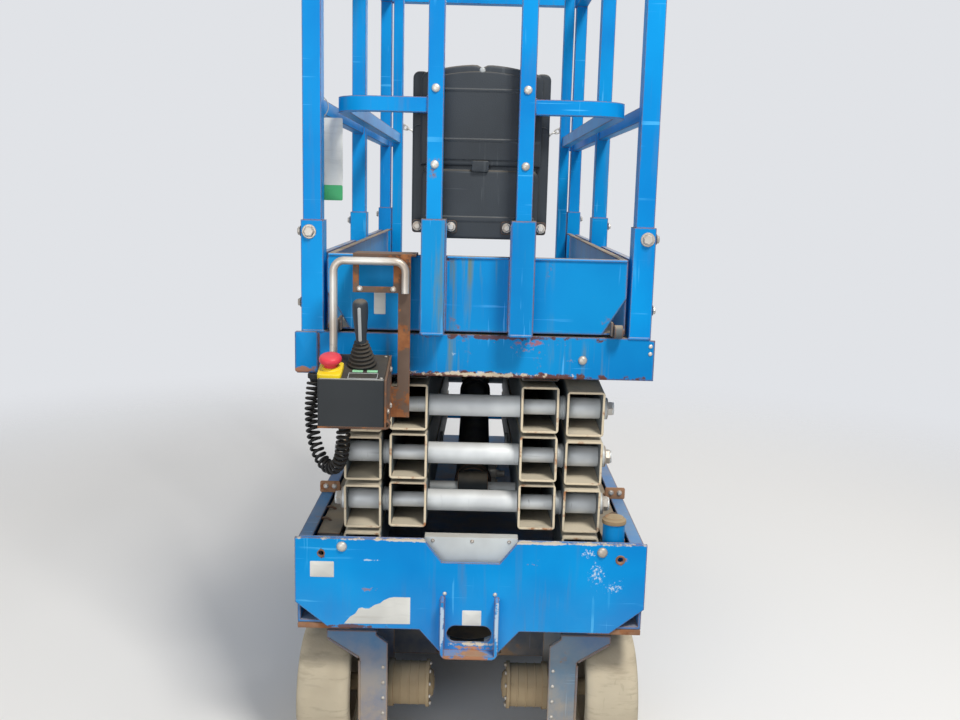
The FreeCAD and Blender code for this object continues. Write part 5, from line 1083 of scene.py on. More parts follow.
@dataclass
class FrontPlateTrim(Part):
    """Bolts, hole lips, blank labels, strap welds and sill shoes of the chassis' front."""

    face: float = -0.793
    bolt_side: float = 0.285
    bolt_height: float = 0.5495
    hole_side: float = 0.325
    hole_height: float = 0.533
    strap: float = 0.063
    shoe: tuple[tuple[float, float], ...] = (
        (0.262, 0.0), (0.378, 0.0), (0.378, 0.052), (0.330, 0.060), (0.262, 0.060))
    torn: tuple[tuple[float, float], ...] = (
        (-0.275, 0.3720), (-0.130, 0.3740), (-0.130, 0.4360), (-0.166, 0.4360), (-0.176, 0.4340), (-0.188, 0.4280),
        (-0.196, 0.4210), (-0.208, 0.4170), (-0.220, 0.4080), (-0.229, 0.4079), (-0.236, 0.4104), (-0.243, 0.4080),
        (-0.250, 0.3960), (-0.262, 0.3880))

    def build(self) -> None:
        """Make the pieces of the front."""
        bolts = Surface()
        fasten(bolts, Fastener.DOME, [(x, self.face, self.bolt_height) for x in (-0.280, self.bolt_side)],
               Axis.FRONT, 0.0115)
        fasten(bolts, Fastener.DOME, [(s.value * 0.055, self.face, 0.447) for s in Side], Axis.FRONT, 0.0045)
        fasten(bolts, Fastener.HEX, [(x, -0.770, 0.5595) for x in (-0.084, 0.002, 0.083)], Axis.FRONT, 0.0032)
        self.keep(bolts, "front_plate_bolts", "chassis", Finish.BOLT, "pin_steel")
        lips = Surface()
        for side in Side:
            centre = (side.value * self.hole_side, self.face, self.hole_height)
            lips.ring(centre, 0.0082 + 0.0008 * side.value, 0.0016 + 0.0004 * side.value, Axis.Y)
        self.keep(lips, "front_plate_hole_lips", "chassis", Finish.RUSTY, smooth=SOFT)
        labels = Surface()
        plate(labels, (-0.323, self.face - 0.0002, 0.497), (0.052, 0.036, 0.0008), 0.002, 0.0002)
        plate(labels, (0.005, self.face - 0.0002, 0.3915), (0.042, 0.035, 0.0008), 0.002, 0.0002)
        labels.slab(self.torn, (0, self.face - 0.0002, 0), Axis.X, Axis.Z, 0.0008, 0.0002, 3, (-0.19, 0.392))
        self.keep(labels, "front_plate_blank_labels", "chassis", Finish.LABEL)
        beads = Surface()
        for side in Side:
            x = side.value * (self.strap + 0.0005)
            weld(beads, (x, self.face, 0.318), (x, self.face, 0.438), 0.0032)
            weld(beads, (side.value * 0.101, -0.786, 0.5685), (side.value * 0.372, -0.786, 0.5685), 0.0022)
        self.keep(beads, "front_plate_welds", "chassis", Finish.PLATE, "blue_paint", smooth=SOFT)
        shoes = Surface()
        for side in Side:
            outline = np.array(self.shoe) * (side.value, 1)
            outline = outline if side is Side.RIGHT else outline[::-1]
            shoes.slab(outline, (0, -0.786, 0.3625), Axis.X, Axis.Y, 0.013, 0.002)
            fasten(shoes, Fastener.HEX, [(side.value * 0.345, -0.765, 0.356)], Axis.DOWN, 0.006)
        self.keep(shoes, "front_sill_shoes", "chassis", Finish.RUSTY)


@dataclass
class TubCorners(Part):
    """Brackets and cable hooks on the tub's walls, and the cap of its deck stop."""

    wall: float = 0.375
    top: float = 0.562

    def build(self) -> None:
        """Make the brackets."""
        brackets, bolts, hooks = Surface(), Surface(), Surface()
        for side in Side:
            x = side.value * (self.wall - 0.018)
            plate(brackets, (x, -0.452, self.top + 0.014), (0.050, 0.029, 0.006), 0.004, 0.0012)
            plate(brackets, (x, -0.436, self.top + 0.0025), (0.050, 0.036, 0.005), 0.004, 0.0012, Axis.Z)
            fasten(bolts, Fastener.HEX,
                   [(x - 0.010, -0.455, self.top + 0.016), (x + 0.011, -0.455, self.top + 0.016)], Axis.FRONT,
                   0.0052)
            for along in (-0.640, -0.560):
                turn = np.linspace(-0.6, math.pi * 1.05, 22)[:, None]
                bow = np.hstack([side.value * -0.016 * np.cos(turn), 0 * turn, 0.016 * np.sin(turn)])
                hooks.rod(np.array((side.value * 0.340, along, self.top - 0.018)) + bow, 0.0028, 10, Axis.Y)
        self.keep(brackets, "tub_wall_brackets", "chassis", Finish.RUSTY)
        self.keep(bolts, "tub_wall_bolts", "chassis", Finish.BOLT)
        self.keep(hooks, "tub_cable_hooks", "chassis", Finish.BRACKET, smooth=SOFT)
        pad = Surface().turn(((0.0, 0.0), (0.0, 0.0262), (0.003, 0.0268), (0.008, 0.0262), (0.010, 0.0225),
                              (0.0135, 0.0205), (0.0142, 0.018), (0.0142, 0.0)), (0.313, -0.753, 0.6045), Axis.Z,
                             40)
        self.keep(pad, "deck_stop_cap", "chassis", Finish.CAST)


@dataclass
class DriveGear(Part):
    """Bolts, ribs and hubs of the wheel motors, and the steering yokes' bolts and welds."""

    axle: tuple[float, float] = (-0.625, 0.146)
    drum: float = 0.092
    circle_radius: float = 0.0475

    def build(self) -> None:
        """Make each side's fittings."""
        for side in Side:
            name, sign = side.name.lower(), side.value
            inboard = Axis.LEFT if side is Side.RIGHT else Axis.X
            turn = np.linspace(0, TAU, 10, endpoint=False) + 0.2
            places = [(sign * self.drum, self.axle[0] + self.circle_radius * math.cos(a),
                       self.axle[1] + self.circle_radius * math.sin(a)) for a in turn]
            bolts = Surface()
            fasten(bolts, Fastener.SOCKET, places, inboard, 0.0046)
            fasten(bolts, Fastener.DOME, [(sign * 0.195, -0.723, z) for z in (0.120, 0.158, 0.196, 0.234)],
                   Axis.FRONT, 0.0042)
            self.keep(bolts, f"drive_bolts_{name}", f"steering_{name}", Finish.BOLT)
            ribs = Surface()
            for along in (0.116, 0.137, 0.158):
                profile = ((0, 0.0480), (0, 0.0504), (0.001, 0.0511), (0.003, 0.0511), (0.004, 0.0504),
                           (0.004, 0.0480))
                ribs.turn(profile, (sign * along, *self.axle), (sign, 0.0, 0.0), 48, closed=True)
            hub = ((0, 0), (0, 0.026), (0.0015, 0.0275), (0.004, 0.0275), (0.004, 0.016), (0.006, 0.015),
                   (0.006, 0))
            ribs.turn(hub, (sign * 0.0865, *self.axle), inboard, 40)
            self.keep(ribs, f"drive_motor_ribs_{name}", f"steering_{name}", Finish.CAST, "motor_cast")
            beads = Surface()
            weld(beads, (sign * 0.250, -0.7225, 0.256), (sign * 0.322, -0.7225, 0.303), 0.003)
            weld(beads, (sign * 0.2495, -0.7225, 0.066), (sign * 0.2495, -0.7225, 0.250), 0.003)
            self.keep(beads, f"yoke_welds_{name}", f"steering_{name}", Finish.BLUE_GEAR, "blue_paint", smooth=SOFT)


@dataclass
class Wheels(Part):
    """Solid tyres with rounded shoulders and sidewall ribs, wheel nuts and hub caps."""

    radius: float = 0.146
    inside: float = 0.271
    wide: float = 0.118
    stations: tuple[tuple[str, float], ...] = (("front", -0.625), ("rear", 0.69494))

    def build(self) -> None:
        """Make four wheels."""
        for end, along in self.stations:
            for side in Side:
                self.tyre(end, along, side)
                self.nuts(end, along, side)

    def tyre(self, end: str, along: float, side: Side) -> None:
        """A profile from bead to bead, turned, its tread worn in by slow waves round the wheel.

        Args:
            end: Front or rear.
            along: The axle's Y.
            side: The machine's side.
        """
        half = self.wide / 2
        bend = np.linspace(0, 1, 8)
        shoulder = np.stack([-half + 0.024 * (1 - np.cos(bend * math.pi / 2)) ** 0.85,
                             self.radius - 0.015 + 0.015 * np.sin(bend * math.pi / 2) ** 0.85], axis=-1)
        wall = np.array(((-half + 0.004, 0.0985), (-half + 0.0005, 0.1000), (-half, 0.1030), (-half, 0.1120),
                         (-half + 0.003, 0.1135), (-half + 0.003, 0.1190), (-half, 0.1205), (-half, 0.1290)))
        left = np.concatenate([wall, shoulder])
        tread = np.stack([np.linspace(-half + 0.028, half - 0.028, 9), np.full(9, self.radius)], axis=-1)
        profile = np.concatenate([left, tread, left[::-1] * (-1, 1)])
        rings = turned(profile, (0, 0, 0), Axis.X, 112)
        turn = np.linspace(0, TAU, 112, endpoint=False)
        outer = np.clip((profile[:, 1] - 0.135) / 0.011, 0, 1)[:, None]
        across = profile[:, :1] / half
        wear = 0.0005 * np.sin(9 * turn + 2 * across) + 0.0004 * np.sin(23 * turn - 4 * across)
        scale = 1 - outer * (np.abs(wear) + 0.0004) / self.radius
        rings[..., 1:] *= scale[..., None]
        middle = side.value * (self.inside + half)
        name = f"{end}_{side.name.lower()}"
        solid = Surface().grid(rings + (middle, along, self.radius), close_rows=True)
        self.keep(solid, f"tyre_solid_{name}", f"wheel_{name}", Finish.TYRE, "tyre_rubber", [f"tyre_{name}"], 50.0)

    def nuts(self, end: str, along: float, side: Side) -> None:
        """Six wheel nuts and a hub cap.

        Args:
            end: Front or rear.
            along: The axle's Y.
            side: The machine's side.
        """
        name = f"{end}_{side.name.lower()}"
        outward = Axis.X if side is Side.RIGHT else Axis.LEFT
        surface = Surface()
        turn = np.linspace(0, TAU, 6, endpoint=False) + 0.4
        places = [(side.value * 0.349, along + 0.066 * math.cos(a),
                   self.radius + 0.066 * math.sin(a)) for a in turn]
        fasten(surface, Fastener.NUT, places, outward, 0.0085)
        cap = ((0, 0), (0, 0.0265), (0.003, 0.0275), (0.008, 0.0262), (0.0125, 0.019), (0.0145, 0.009), (0.0148, 0))
        surface.turn(cap, (side.value * 0.3705, along, self.radius), outward, 32)
        self.keep(surface, f"wheel_nuts_{name}", f"wheel_{name}", Finish.BOLT, "pin_steel")


@dataclass
class PinEnds(Part):
    """Hexagon nuts, collars, washer rings and spacer sleeves of the scissor pins."""

    front: float = -0.695
    rear: float = 0.78094
    lowest: float = 0.519
    step: float = 0.1095

    def height(self, row: float) -> float:
        """Height of a row of pins."""
        return self.lowest + self.step * row

    def build(self) -> None:
        """Make the fittings of each level."""
        middle = (self.front + self.rear) / 2
        nut = (((0.0, 0.0), (0.0, 0.0235), (0.0008, 0.0240), (0.0022, 0.0240), (0.003, 0.0232), (0.003, 0.0)), 32)
        head = (((0.002, 0.0), (0.002, 0.0165), (0.0125, 0.0165), (0.0150, 0.0142), (0.0150, 0.0)), 6)
        stud = (((0.014, 0.0), (0.014, 0.0088), (0.0158, 0.0088), (0.0170, 0.0075), (0.0170, 0.0)), 20)
        hollow = (((0.0, 0.0), (0.0, 0.0225), (0.001, 0.0232), (0.070, 0.0232), (0.071, 0.0225), (0.071, 0.0)), 36)
        rim = ((0.0, 0.0245), (0.0, 0.0268), (0.0006, 0.0274), (0.0034, 0.0274), (0.004, 0.0268), (0.004, 0.0245))
        for level in range(1, 5):
            pairs = [(self.rear, level - 1), (self.front, level), (middle, level - 0.5)]
            ends = [pair for pair, nutted in zip(pairs, (level > 1, level < 4, True)) if nutted]
            nuts, sleeves = Surface(), Surface()
            for side in Side:
                outward = (side.value, 0.0, 0.0)
                for number, (along, row) in enumerate(ends):
                    at = (side.value * 0.2905, along, self.height(row))
                    for profile, sides in (nut, head, stud):
                        nuts.turn(profile, at, outward, sides, 0.35 + level * 0.9 + number + side.value)
                for along, row in pairs:
                    sleeves.turn(hollow[0], (side.value * 0.2055, along, self.height(row)), outward, hollow[1])
                    for start in (0.1852, 0.1938):
                        sleeves.turn(rim, (side.value * start, along, self.height(row)), outward, 36, closed=True)
            self.keep(nuts, f"pin_nuts_{level}", f"inner_{level}", Finish.BOLT, "pin_steel")
            self.keep(sleeves, f"pin_sleeves_{level}", f"inner_{level}", Finish.PIN, "pin_steel")


@dataclass
class CylinderFittings(Part):
    """Gland rings, port block and wiper of the lift cylinder."""

    base: tuple[float, float, float] = (0.0, -0.57533, 0.61962)
    eye: tuple[float, float, float] = (0.0, 0.48581, 0.67968)

    def build(self) -> None:
        """Turned rings and a port block along the line from the base pin to the eye."""
        base, eye = np.array(self.base), np.array(self.eye)
        along = unit(eye - base)
        upright = unit(np.cross(Axis.X, along))
        parts = Surface()
        for start, radius, wide in ((0.048, 0.0445, 0.012), (0.852, 0.0490, 0.008), (0.892, 0.0490, 0.010)):
            profile = ((0, 0.030), (0, radius - 0.002), (0.002, radius), (wide - 0.002, radius),
                       (wide, radius - 0.002), (wide, 0.030))
            parts.turn(profile, base + along * start, along, 44, closed=True)
        self.keep(parts, "cylinder_gland_rings", "cylinder_barrel", Finish.DARK, "arm_paint")
        port = Surface()
        out = np.array(Axis.X)
        at = base + along * 0.105 + out * 0.046
        port.slab(rounded_rectangle(0.040, 0.052, 0.004), at, upright, along, 0.022, 0.0015)
        port.turn(((0, 0), (0, 0.009), (0.010, 0.009), (0.012, 0.0075), (0.022, 0.0075), (0.022, 0)),
                  at + out * 0.010, out, 6)
        corners = [at + out * 0.011 + along * k + upright * j for k in (-0.018, 0.018) for j in (-0.013, 0.013)]
        fasten(port, Fastener.SOCKET, corners, Axis.X, 0.0036)
        self.keep(port, "cylinder_port", "cylinder_barrel", Finish.BOLT, "pin_steel")
        wiper = Surface().turn(((0, 0.0244), (0, 0.036), (0.003, 0.0375), (0.006, 0.036), (0.007, 0.0244)),
                               base + along * 0.9088, along, 40, closed=True)
        self.keep(wiper, "cylinder_wiper", "cylinder_barrel", Finish.CORD)


@dataclass
class DeckFittings(Part):
    """Bolts, pocket, welds and anchors of the platform and its rails."""

    beam: float = -0.775
    deck: float = 1.017

    def build(self) -> None:
        """Make the platform's fittings."""
        bolts = Surface()
        fasten(bolts, Fastener.DOME, [(0.226, self.beam, 0.968)], Axis.FRONT, 0.0095)
        fasten(bolts, Fastener.DOME, [(0.368, self.beam, z) for z in (0.985, 1.001)], Axis.FRONT, 0.0045)
        fasten(bolts, Fastener.HEX, [(s.value * 0.350, self.beam, 1.224) for s in Side], Axis.FRONT, 0.0115)
        for side, facing in ((Side.LEFT, Axis.LEFT), (Side.RIGHT, Axis.X)):
            posts = [(side.value * 0.371, y, z) for y in (-0.752, 0.0199, 0.792) for z in (1.075, 1.224)]
            fasten(bolts, Fastener.HEX, posts, facing, 0.0085)
        self.keep(bolts, "platform_bolts", "platform", Finish.BOLT, "pin_steel")
        pocket = Surface()
        plate(pocket, (-0.356, self.beam - 0.004, 0.9735), (0.048, 0.087, 0.008), 0.004, 0.002)
        weld(pocket, (-0.331, self.beam - 0.0005, 0.932), (-0.331, self.beam - 0.0005, 1.014), 0.0028)
        self.keep(pocket, "beam_pocket", "platform", Finish.BLUE_WORN, "blue_paint")
        beads = Surface()
        for side in Side:
            s = side.value
            for y in (-0.775, -0.729, -0.003, 0.0429, 0.769, 0.815):
                weld(beads, (s * 0.318, y, self.deck), (s * 0.366, y, self.deck), 0.003)
            for y in (-0.733, 0.0009, 0.0389, 0.773):
                for z in (1.466, 1.496):
                    weld(beads, (s * 0.332, y, z), (s * 0.356, y, z), 0.0024)
                weld(beads, (s * 0.356, y, 1.466), (s * 0.356, y, 1.496), 0.0024)
            for y in (0.0009, 0.0389):
                weld(beads, (s * 0.325, y, 1.963), (s * 0.363, y, 1.963), 0.0026)
        self.keep(beads, "rail_welds", "platform", Finish.BLUE, "blue_paint", smooth=SOFT)
        anchors = Surface()
        for side in Side:
            for y in (-0.40, 0.42):
                plate(anchors, (side.value * 0.3665, y, 1.130), (0.040, 0.034, 0.004), 0.006, 0.0012, Axis.X)
                anchors.ring((side.value * 0.353, y, 1.122), 0.016, 0.0035, Axis.Y)
        self.keep(anchors, "harness_anchors", "platform", Finish.BOLT)
        self.tag()

    def tag(self) -> None:
        """Blank inspection card with a green foot, on a loop round the left middle rail behind the front post."""
        x, y = -0.3175, -0.7145
        card, foot, tie = Surface(), Surface(), Surface()
        plate(card, (x, y, 1.3887), (0.057, 0.138, 0.0009), 0.003, 0.0003)
        plate(foot, (x, y, 1.3038), (0.057, 0.0318, 0.0009), 0.003, 0.0003)
        tie.ring((-0.343, y, 1.4795), 0.0240, 0.0011, Axis.Y, 36)
        self.keep(card, "tag_card", "platform", Finish.LABEL)
        self.keep(foot, "tag_card_foot", "platform", Finish.GREEN)
        self.keep(tie, "tag_tie", "platform", Finish.PALE, smooth=SOFT)


class ExtensionFittings(Part):
    """Bolts, clamps, welds, rollers and hems of the sliding deck and its rails."""

    def build(self) -> None:
        """Make the extension's fittings."""
        bolts = Surface()
        fasten(bolts, Fastener.DOME, [(s.value * 0.091, -0.816, z) for s in Side for z in (1.365, 1.513)],
               Axis.FRONT, 0.0085)
        fasten(bolts, Fastener.HEX, [(x, -0.7795, 1.241) for x in (-0.127, -0.0575, 0.0575, 0.127)], Axis.FRONT,
               0.0075)
        self.keep(bolts, "extension_bolts", "extension", Finish.BOLT, "pin_steel")
        clamps = Surface()
        for side in Side:
            plate(clamps, (side.value * 0.0915, -0.7772, 1.241), (0.092, 0.026, 0.0045), 0.006, 0.001)
        self.keep(clamps, "manual_box_clamps", "extension", Finish.DARK, "bracket_steel")
        beads = Surface()
        for side in Side:
            s = side.value
            weld(beads, (s * 0.1075, -0.812, 1.467), (s * 0.1075, -0.812, 1.495), 0.0026)
            weld(beads, (s * 0.1075, -0.811, 1.4965), (s * 0.1075, -0.789, 1.4965), 0.0024)
            weld(beads, (s * 0.0655, -0.8255, 1.030), (s * 0.0655, -0.8255, 1.250), 0.0016)
            for x in (0.0745, 0.1075):
                weld(beads, (s * x, -0.8165, 1.9690), (s * x, -0.784, 1.9690), 0.0024)
            weld(beads, (s * 0.067, -0.8255, 1.0235), (s * 0.115, -0.8255, 1.0235), 0.003)
            weld(beads, (s * 0.262, 0.493, 1.0275), (s * 0.292, 0.493, 1.0275), 0.0028)
        self.keep(beads, "extension_welds", "extension", Finish.BLUE, "blue_paint", smooth=SOFT)
        rollers = Surface()
        for side in Side:
            wheel = ((0, 0), (0, 0.0125), (0.0015, 0.0142), (0.0165, 0.0142), (0.018, 0.0125), (0.018, 0.006),
                     (0.021, 0.006), (0.021, 0))
            rollers.turn(wheel, (side.value * 0.287, -0.789, 1.0325), (side.value, 0, 0), 32)
            plate(rollers, (side.value * 0.283, -0.7815, 1.037), (0.005, 0.030, 0.018), 0.002, 0.0008)
        self.keep(rollers, "extension_rollers", "extension", Finish.FRAME_GREY)
        lip = Surface()
        fold = np.linspace(0, math.pi * 0.62, 8)
        for x0, x1 in ((-0.3105, -0.1185), (-0.0640, 0.0640), (0.1185, 0.3105)):
            arc = np.stack([-0.7745 - 0.0035 * np.sin(fold), 1.1775 + 0.0035 * np.cos(fold)], axis=-1)
            hem = np.concatenate([arc, arc[::-1] + (0.0022, -0.0004)])
            rows = np.stack([np.concatenate([np.full((len(hem), 1), x), hem], axis=1) for x in (x0, x1)])
            lip.grid(rows)
        self.keep(lip, "extension_toe_hem", "extension", Finish.BLUE, "blue_paint", smooth=SOFT)


@dataclass
class ManualBox(Part):
    """Moulded box for the manuals: body, overhanging lid with a raised panel, side pods and a latch."""

    front: float = -0.775
    deep: float = 0.088
    foot: float = 1.217
    seam: float = 1.3605
    top: float = 1.569
    side: float = 0.1204
    half: float = 0.140

    def block(self, surface: Surface, outline: Sequence[Sequence[float]], ahead: float, deep: float, edge: float,
              hub: Sequence[float] | None = None) -> None:
        """Add a block with a drawn front outline.

        Args:
            surface: The surface to add to.
            outline: Points (x, z), counter-clockwise.
            ahead: The block's front behind the box's front.
            deep: Its depth.
            edge: Radius of its rims.
            hub: Middle of its faces.
        """
        centre = (0.0, self.front + ahead + deep / 2, 0.0)
        surface.slab(outline, centre, Axis.X, Axis.Z, deep, edge, 5, hub)

    def build(self) -> None:
        """Make the box."""
        s, body = self.side, Surface()
        brim = self.seam - 0.0035
        shell = rounded_rectangle(2 * s, brim - self.foot, 0.016, 6) + (0, (brim + self.foot) / 2)
        self.block(body, shell, 0.0, self.deep, 0.006)
        fold = rounded_rectangle(2 * s - 0.016, 0.010, 0.004) + (0, 1.2575)
        self.block(body, fold, -0.0022, 0.010, 0.0015)
        self.block(body, rounded_rectangle(2 * s - 0.012, 0.014, 0.003) + (0, self.seam), 0.006, self.deep - 0.012,
                   0.001)
        lid, panel = Surface(), Surface()
        rise = np.linspace(-1, 1, 21)
        arch = np.stack([-rise * (s - 0.018),
                         self.top - 0.004 - 0.014 * rise ** 2 - 0.006 * np.exp(-(rise / 0.07) ** 2)], axis=-1)
        low = self.seam + 0.0035
        wide, brow, temple = s + 0.003, self.top - 0.034, self.top - 0.022
        outline = np.concatenate([((-wide, low), (wide, low), (wide, brow), (s - 0.004, temple)), arch,
                                  ((-s + 0.004, temple), (-wide, brow))])
        self.block(lid, outline, -0.0015, self.deep + 0.001, 0.007, (0, 1.46))
        inner = np.stack([-rise * (s - 0.034), self.top - 0.018 - 0.010 * rise ** 2], axis=-1)
        raised = np.concatenate([((-s + 0.024, low + 0.012), (s - 0.024, low + 0.012)), inner])
        self.block(panel, raised, -0.0045, 0.010, 0.003, (0, 1.46))
        for z in (low + 0.052, low + 0.150):
            self.block(panel, rounded_rectangle(0.150, 0.005, 0.002) + (0, z), -0.0062, 0.006, 0.0012)
        pods = Surface()
        for sign in (-1, 1):
            for low_z, high_z, ahead, deep in ((1.229, 1.447, 0.0132, 0.0616), (1.411, 1.551, 0.0150, 0.058)):
                wide = self.half - s + 0.014
                middle = (sign * (self.half - wide / 2), (low_z + high_z) / 2)
                self.block(pods, rounded_rectangle(wide, high_z - low_z, 0.013, 6) + middle, ahead, deep, 0.005)
        self.keep(body, "manual_box_body", "extension", Finish.PLASTIC, "black_plastic", ["manual_box"])
        plate(lid, (0.0, self.front - 0.0035, self.seam + 0.004), (0.034, 0.022, 0.006), 0.003, 0.0015)
        self.keep(lid, "manual_box_lid", "extension", Finish.PLASTIC, "black_plastic")
        self.keep(panel, "manual_box_panel", "extension", Finish.PLASTIC, "black_plastic")
        self.keep(pods, "manual_box_pods", "extension", Finish.PLASTIC, "black_plastic")
        latch = Surface()
        fasten(latch, Fastener.DOME, [(0.0, self.front - 0.0015, self.top - 0.016)], Axis.FRONT, 0.006)
        self.keep(latch, "manual_box_latch", "extension", Finish.PALE)


@dataclass
class ControlStation(Part):
    """Platform controls: case, panel trim, stop button, joystick with bellows, glands and blank label."""

    left: float = -0.307
    right: float = -0.176
    front: float = -0.940
    back: float = -0.832
    foot: float = 0.853
    brow: float = 0.947
    crown: float = 0.979
    rake: Array = field(init=False)
    normal: Array = field(init=False)

    def __post_init__(self) -> None:
        """Work out the panel's own directions."""
        self.rake = unit((0.0, self.back - self.front, self.crown - self.brow))
        self.normal = np.cross(Axis.X, self.rake)

    def on_panel(self, x: float, depth: float, rise: float = 0.0) -> Array:
        """A place on the sloping panel, measured back from its front edge."""
        return np.array((x, self.front, self.brow)) + self.rake * depth + self.normal * rise

    def pad(self, surface: Surface, x: tuple[float, float], depth: tuple[float, float], rise: tuple[float, float],
            corner: float = 0.003, edge: float = 0.0008) -> None:
        """Add a rounded pad on the panel between two sides, two depths and two heights above it."""
        centre = self.on_panel((x[0] + x[1]) / 2, (depth[0] + depth[1]) / 2, (rise[0] + rise[1]) / 2)
        outline = rounded_rectangle(x[1] - x[0], depth[1] - depth[0], corner)
        surface.slab(outline, centre, Axis.X, self.rake, rise[1] - rise[0], edge)

    def build(self) -> None:
        """Make the control station."""
        profile = ((self.front, self.foot), (self.back, self.foot), (self.back, self.crown),
                   (self.front, self.brow))
        case = Surface()
        case.slab(profile, ((self.left + self.right) / 2, 0, 0), Axis.Y, Axis.Z, self.right - self.left, 0.003, 5)
        self.keep(case, "control_case", "extension", Finish.CASE, "black_case", ["control_box"])
        trim, windows, screws = Surface(), Surface(), Surface()
        self.pad(trim, (self.left + 0.004, self.right - 0.002), (0.0010, 0.0030), (-0.0002, 0.0010), 0.001, 0.0004)
        for x, depth in (((-0.249, -0.191), (0.0275, 0.0288)), ((-0.249, -0.191), (0.0052, 0.0065)),
                         ((-0.249, -0.2477), (0.0052, 0.0288)), ((-0.1923, -0.191), (0.0052, 0.0288))):
            self.pad(trim, x, depth, (-0.0002, 0.0009), 0.0005, 0.0003)
        self.keep(trim, "control_panel_trim", "extension", Finish.PALE)
        for x in ((-0.243, -0.222), (-0.214, -0.193)):
            self.pad(windows, x, (0.0325, 0.0405), (-0.0005, 0.0016), 0.001, 0.0005)
        self.keep(windows, "control_panel_windows", "extension", Finish.WINDOW)
        corners = [self.on_panel(x, d, 0.0) for x, d in ((-0.300, 0.104), (-0.183, 0.104), (-0.183, 0.008))]
        fasten(screws, Fastener.DOME, corners, Axis.Z, 0.0035)
        flank = [(self.right + 0.004, y, z) for y, z in ((-0.915, 0.880), (-0.860, 0.880), (-0.860, 0.955))]
        fasten(screws, Fastener.HEX, flank, Axis.X, 0.005)
        fasten(screws, Fastener.HEX, [(x, -0.8325, 1.1145) for x in (-0.238, -0.170)], Axis.FRONT, 0.0045)
        self.keep(screws, "control_screws", "extension", Finish.BOLT)
        self.stop()
        self.joystick()
        glands = Surface()
        for place in ((-0.264, -0.881, 0.8492), (-0.338, -0.781, 0.9272)):
            profile = ((0, 0), (0, 0.0150), (0.003, 0.0155), (0.009, 0.0150), (0.010, 0.0118), (0.018, 0.0095),
                       (0.0185, 0.006), (0.012, 0.004))
            glands.turn(profile, place, Axis.DOWN, 28)
        self.keep(glands, "cord_glands", "extension", Finish.RUBBER)
        label, curl = Surface(), Surface()
        plate(label, (-0.203, -0.7754, 1.083), (0.024, 0.054, 0.0008), 0.002, 0.0002)
        self.keep(label, "toe_board_blank_label", "extension", Finish.LABEL)
        bend = np.linspace(0, math.pi * 1.1, 16)[:, None]
        bow = 0.007 * np.hstack([np.sin(bend), 0 * bend, 1 - np.cos(bend)])
        path = np.array((self.right + 0.003, -0.9285, self.foot - 0.0025)) + bow
        curl.grid(sweep(path, rounded_rectangle(0.020, 0.0035, 0.0012, 3), Axis.Y))
        self.keep(curl, "bracket_curl", "extension", Finish.BRACKET, "bracket_steel")

    def stop(self) -> None:
        """Red mushroom on its neck over a yellow block that overhangs the panel's front corner."""
        cap = ((0.0, 0.0), (0.0, 0.0145), (0.012, 0.0135), (0.0200, 0.0135), (0.0212, 0.0155), (0.0222, 0.0208),
               (0.0240, 0.0222), (0.0290, 0.0222), (0.0325, 0.0205), (0.0350, 0.0165), (0.0364, 0.0100),
               (0.0370, 0.0045), (0.0371, 0.0))
        place = self.on_panel(-0.285, 0.0345)
        button = Surface().turn(cap, place, self.normal, 44)
        self.keep(button, "stop_mushroom", "extension", Finish.RED, "stop_red", ["stop_button"], smooth=50.0)
        base = Surface()
        self.pad(base, (-0.3085, -0.2615), (0.0024, 0.060), (-0.004, 0.0085), 0.007, 0.002)
        base.turn(((0.008, 0), (0.008, 0.0192), (0.0105, 0.0186), (0.0125, 0.0165), (0.0125, 0)), place,
                  self.normal, 36)
        self.keep(base, "stop_base", "extension", Finish.YELLOW)

    def joystick(self) -> None:
        """Bellows of six rings under a grip whose oval section grows and leans back a little."""
        foot = self.on_panel(-0.2275, 0.0676)
        rings = np.linspace(0, 1, 73)
        cone = 0.0265 - 0.0150 * rings + 0.0030 * np.cos(TAU * 6 * rings)
        folds = np.stack([0.005 + 0.045 * rings, cone], axis=-1)
        profile = np.concatenate([((0, 0), (0, 0.029), (0.004, 0.0285)), folds, ((0.051, 0.008), (0.051, 0))])
        bellows = Surface().turn(profile, foot, self.normal, 40)
        self.keep(bellows, "joystick_bellows", "extension", Finish.RUBBER, "black_plastic", ["joystick"],
                  smooth=SOFT)
        rise = np.linspace(0, 1, 40)
        path = foot + self.normal * (0.048 + 0.092 * rise)[:, None] + self.rake * (0.004 * rise ** 2)[:, None]
        body = 0.0105 + 0.0035 * np.clip(rise * 3, 0, 1) - 0.0015 * np.sin(rise * math.pi * 2)
        body = body * np.sqrt(np.clip(1.03 - np.clip((rise - 0.86) / 0.14, 0, 1) ** 3, 0.02, 1))
        grip = Surface().grid(sweep(path, circle(1.0, 28) * (1.0, 1.12) * body[:, None, None], Axis.X))
        self.keep(grip, "joystick_grip", "extension", Finish.PLASTIC, "black_plastic", smooth=SOFT)
        # Pale strip down the grip's front: a painted highlight on the black grip.
        highlight_strip = Surface()
        at = foot + self.normal * 0.094 - self.rake * 0.0150
        highlight_strip.slab(rounded_rectangle(0.0065, 0.072, 0.003), at, Axis.X, self.normal, 0.004, 0.0012)
        self.keep(highlight_strip, "joystick_strip", "extension", Finish.PALE)


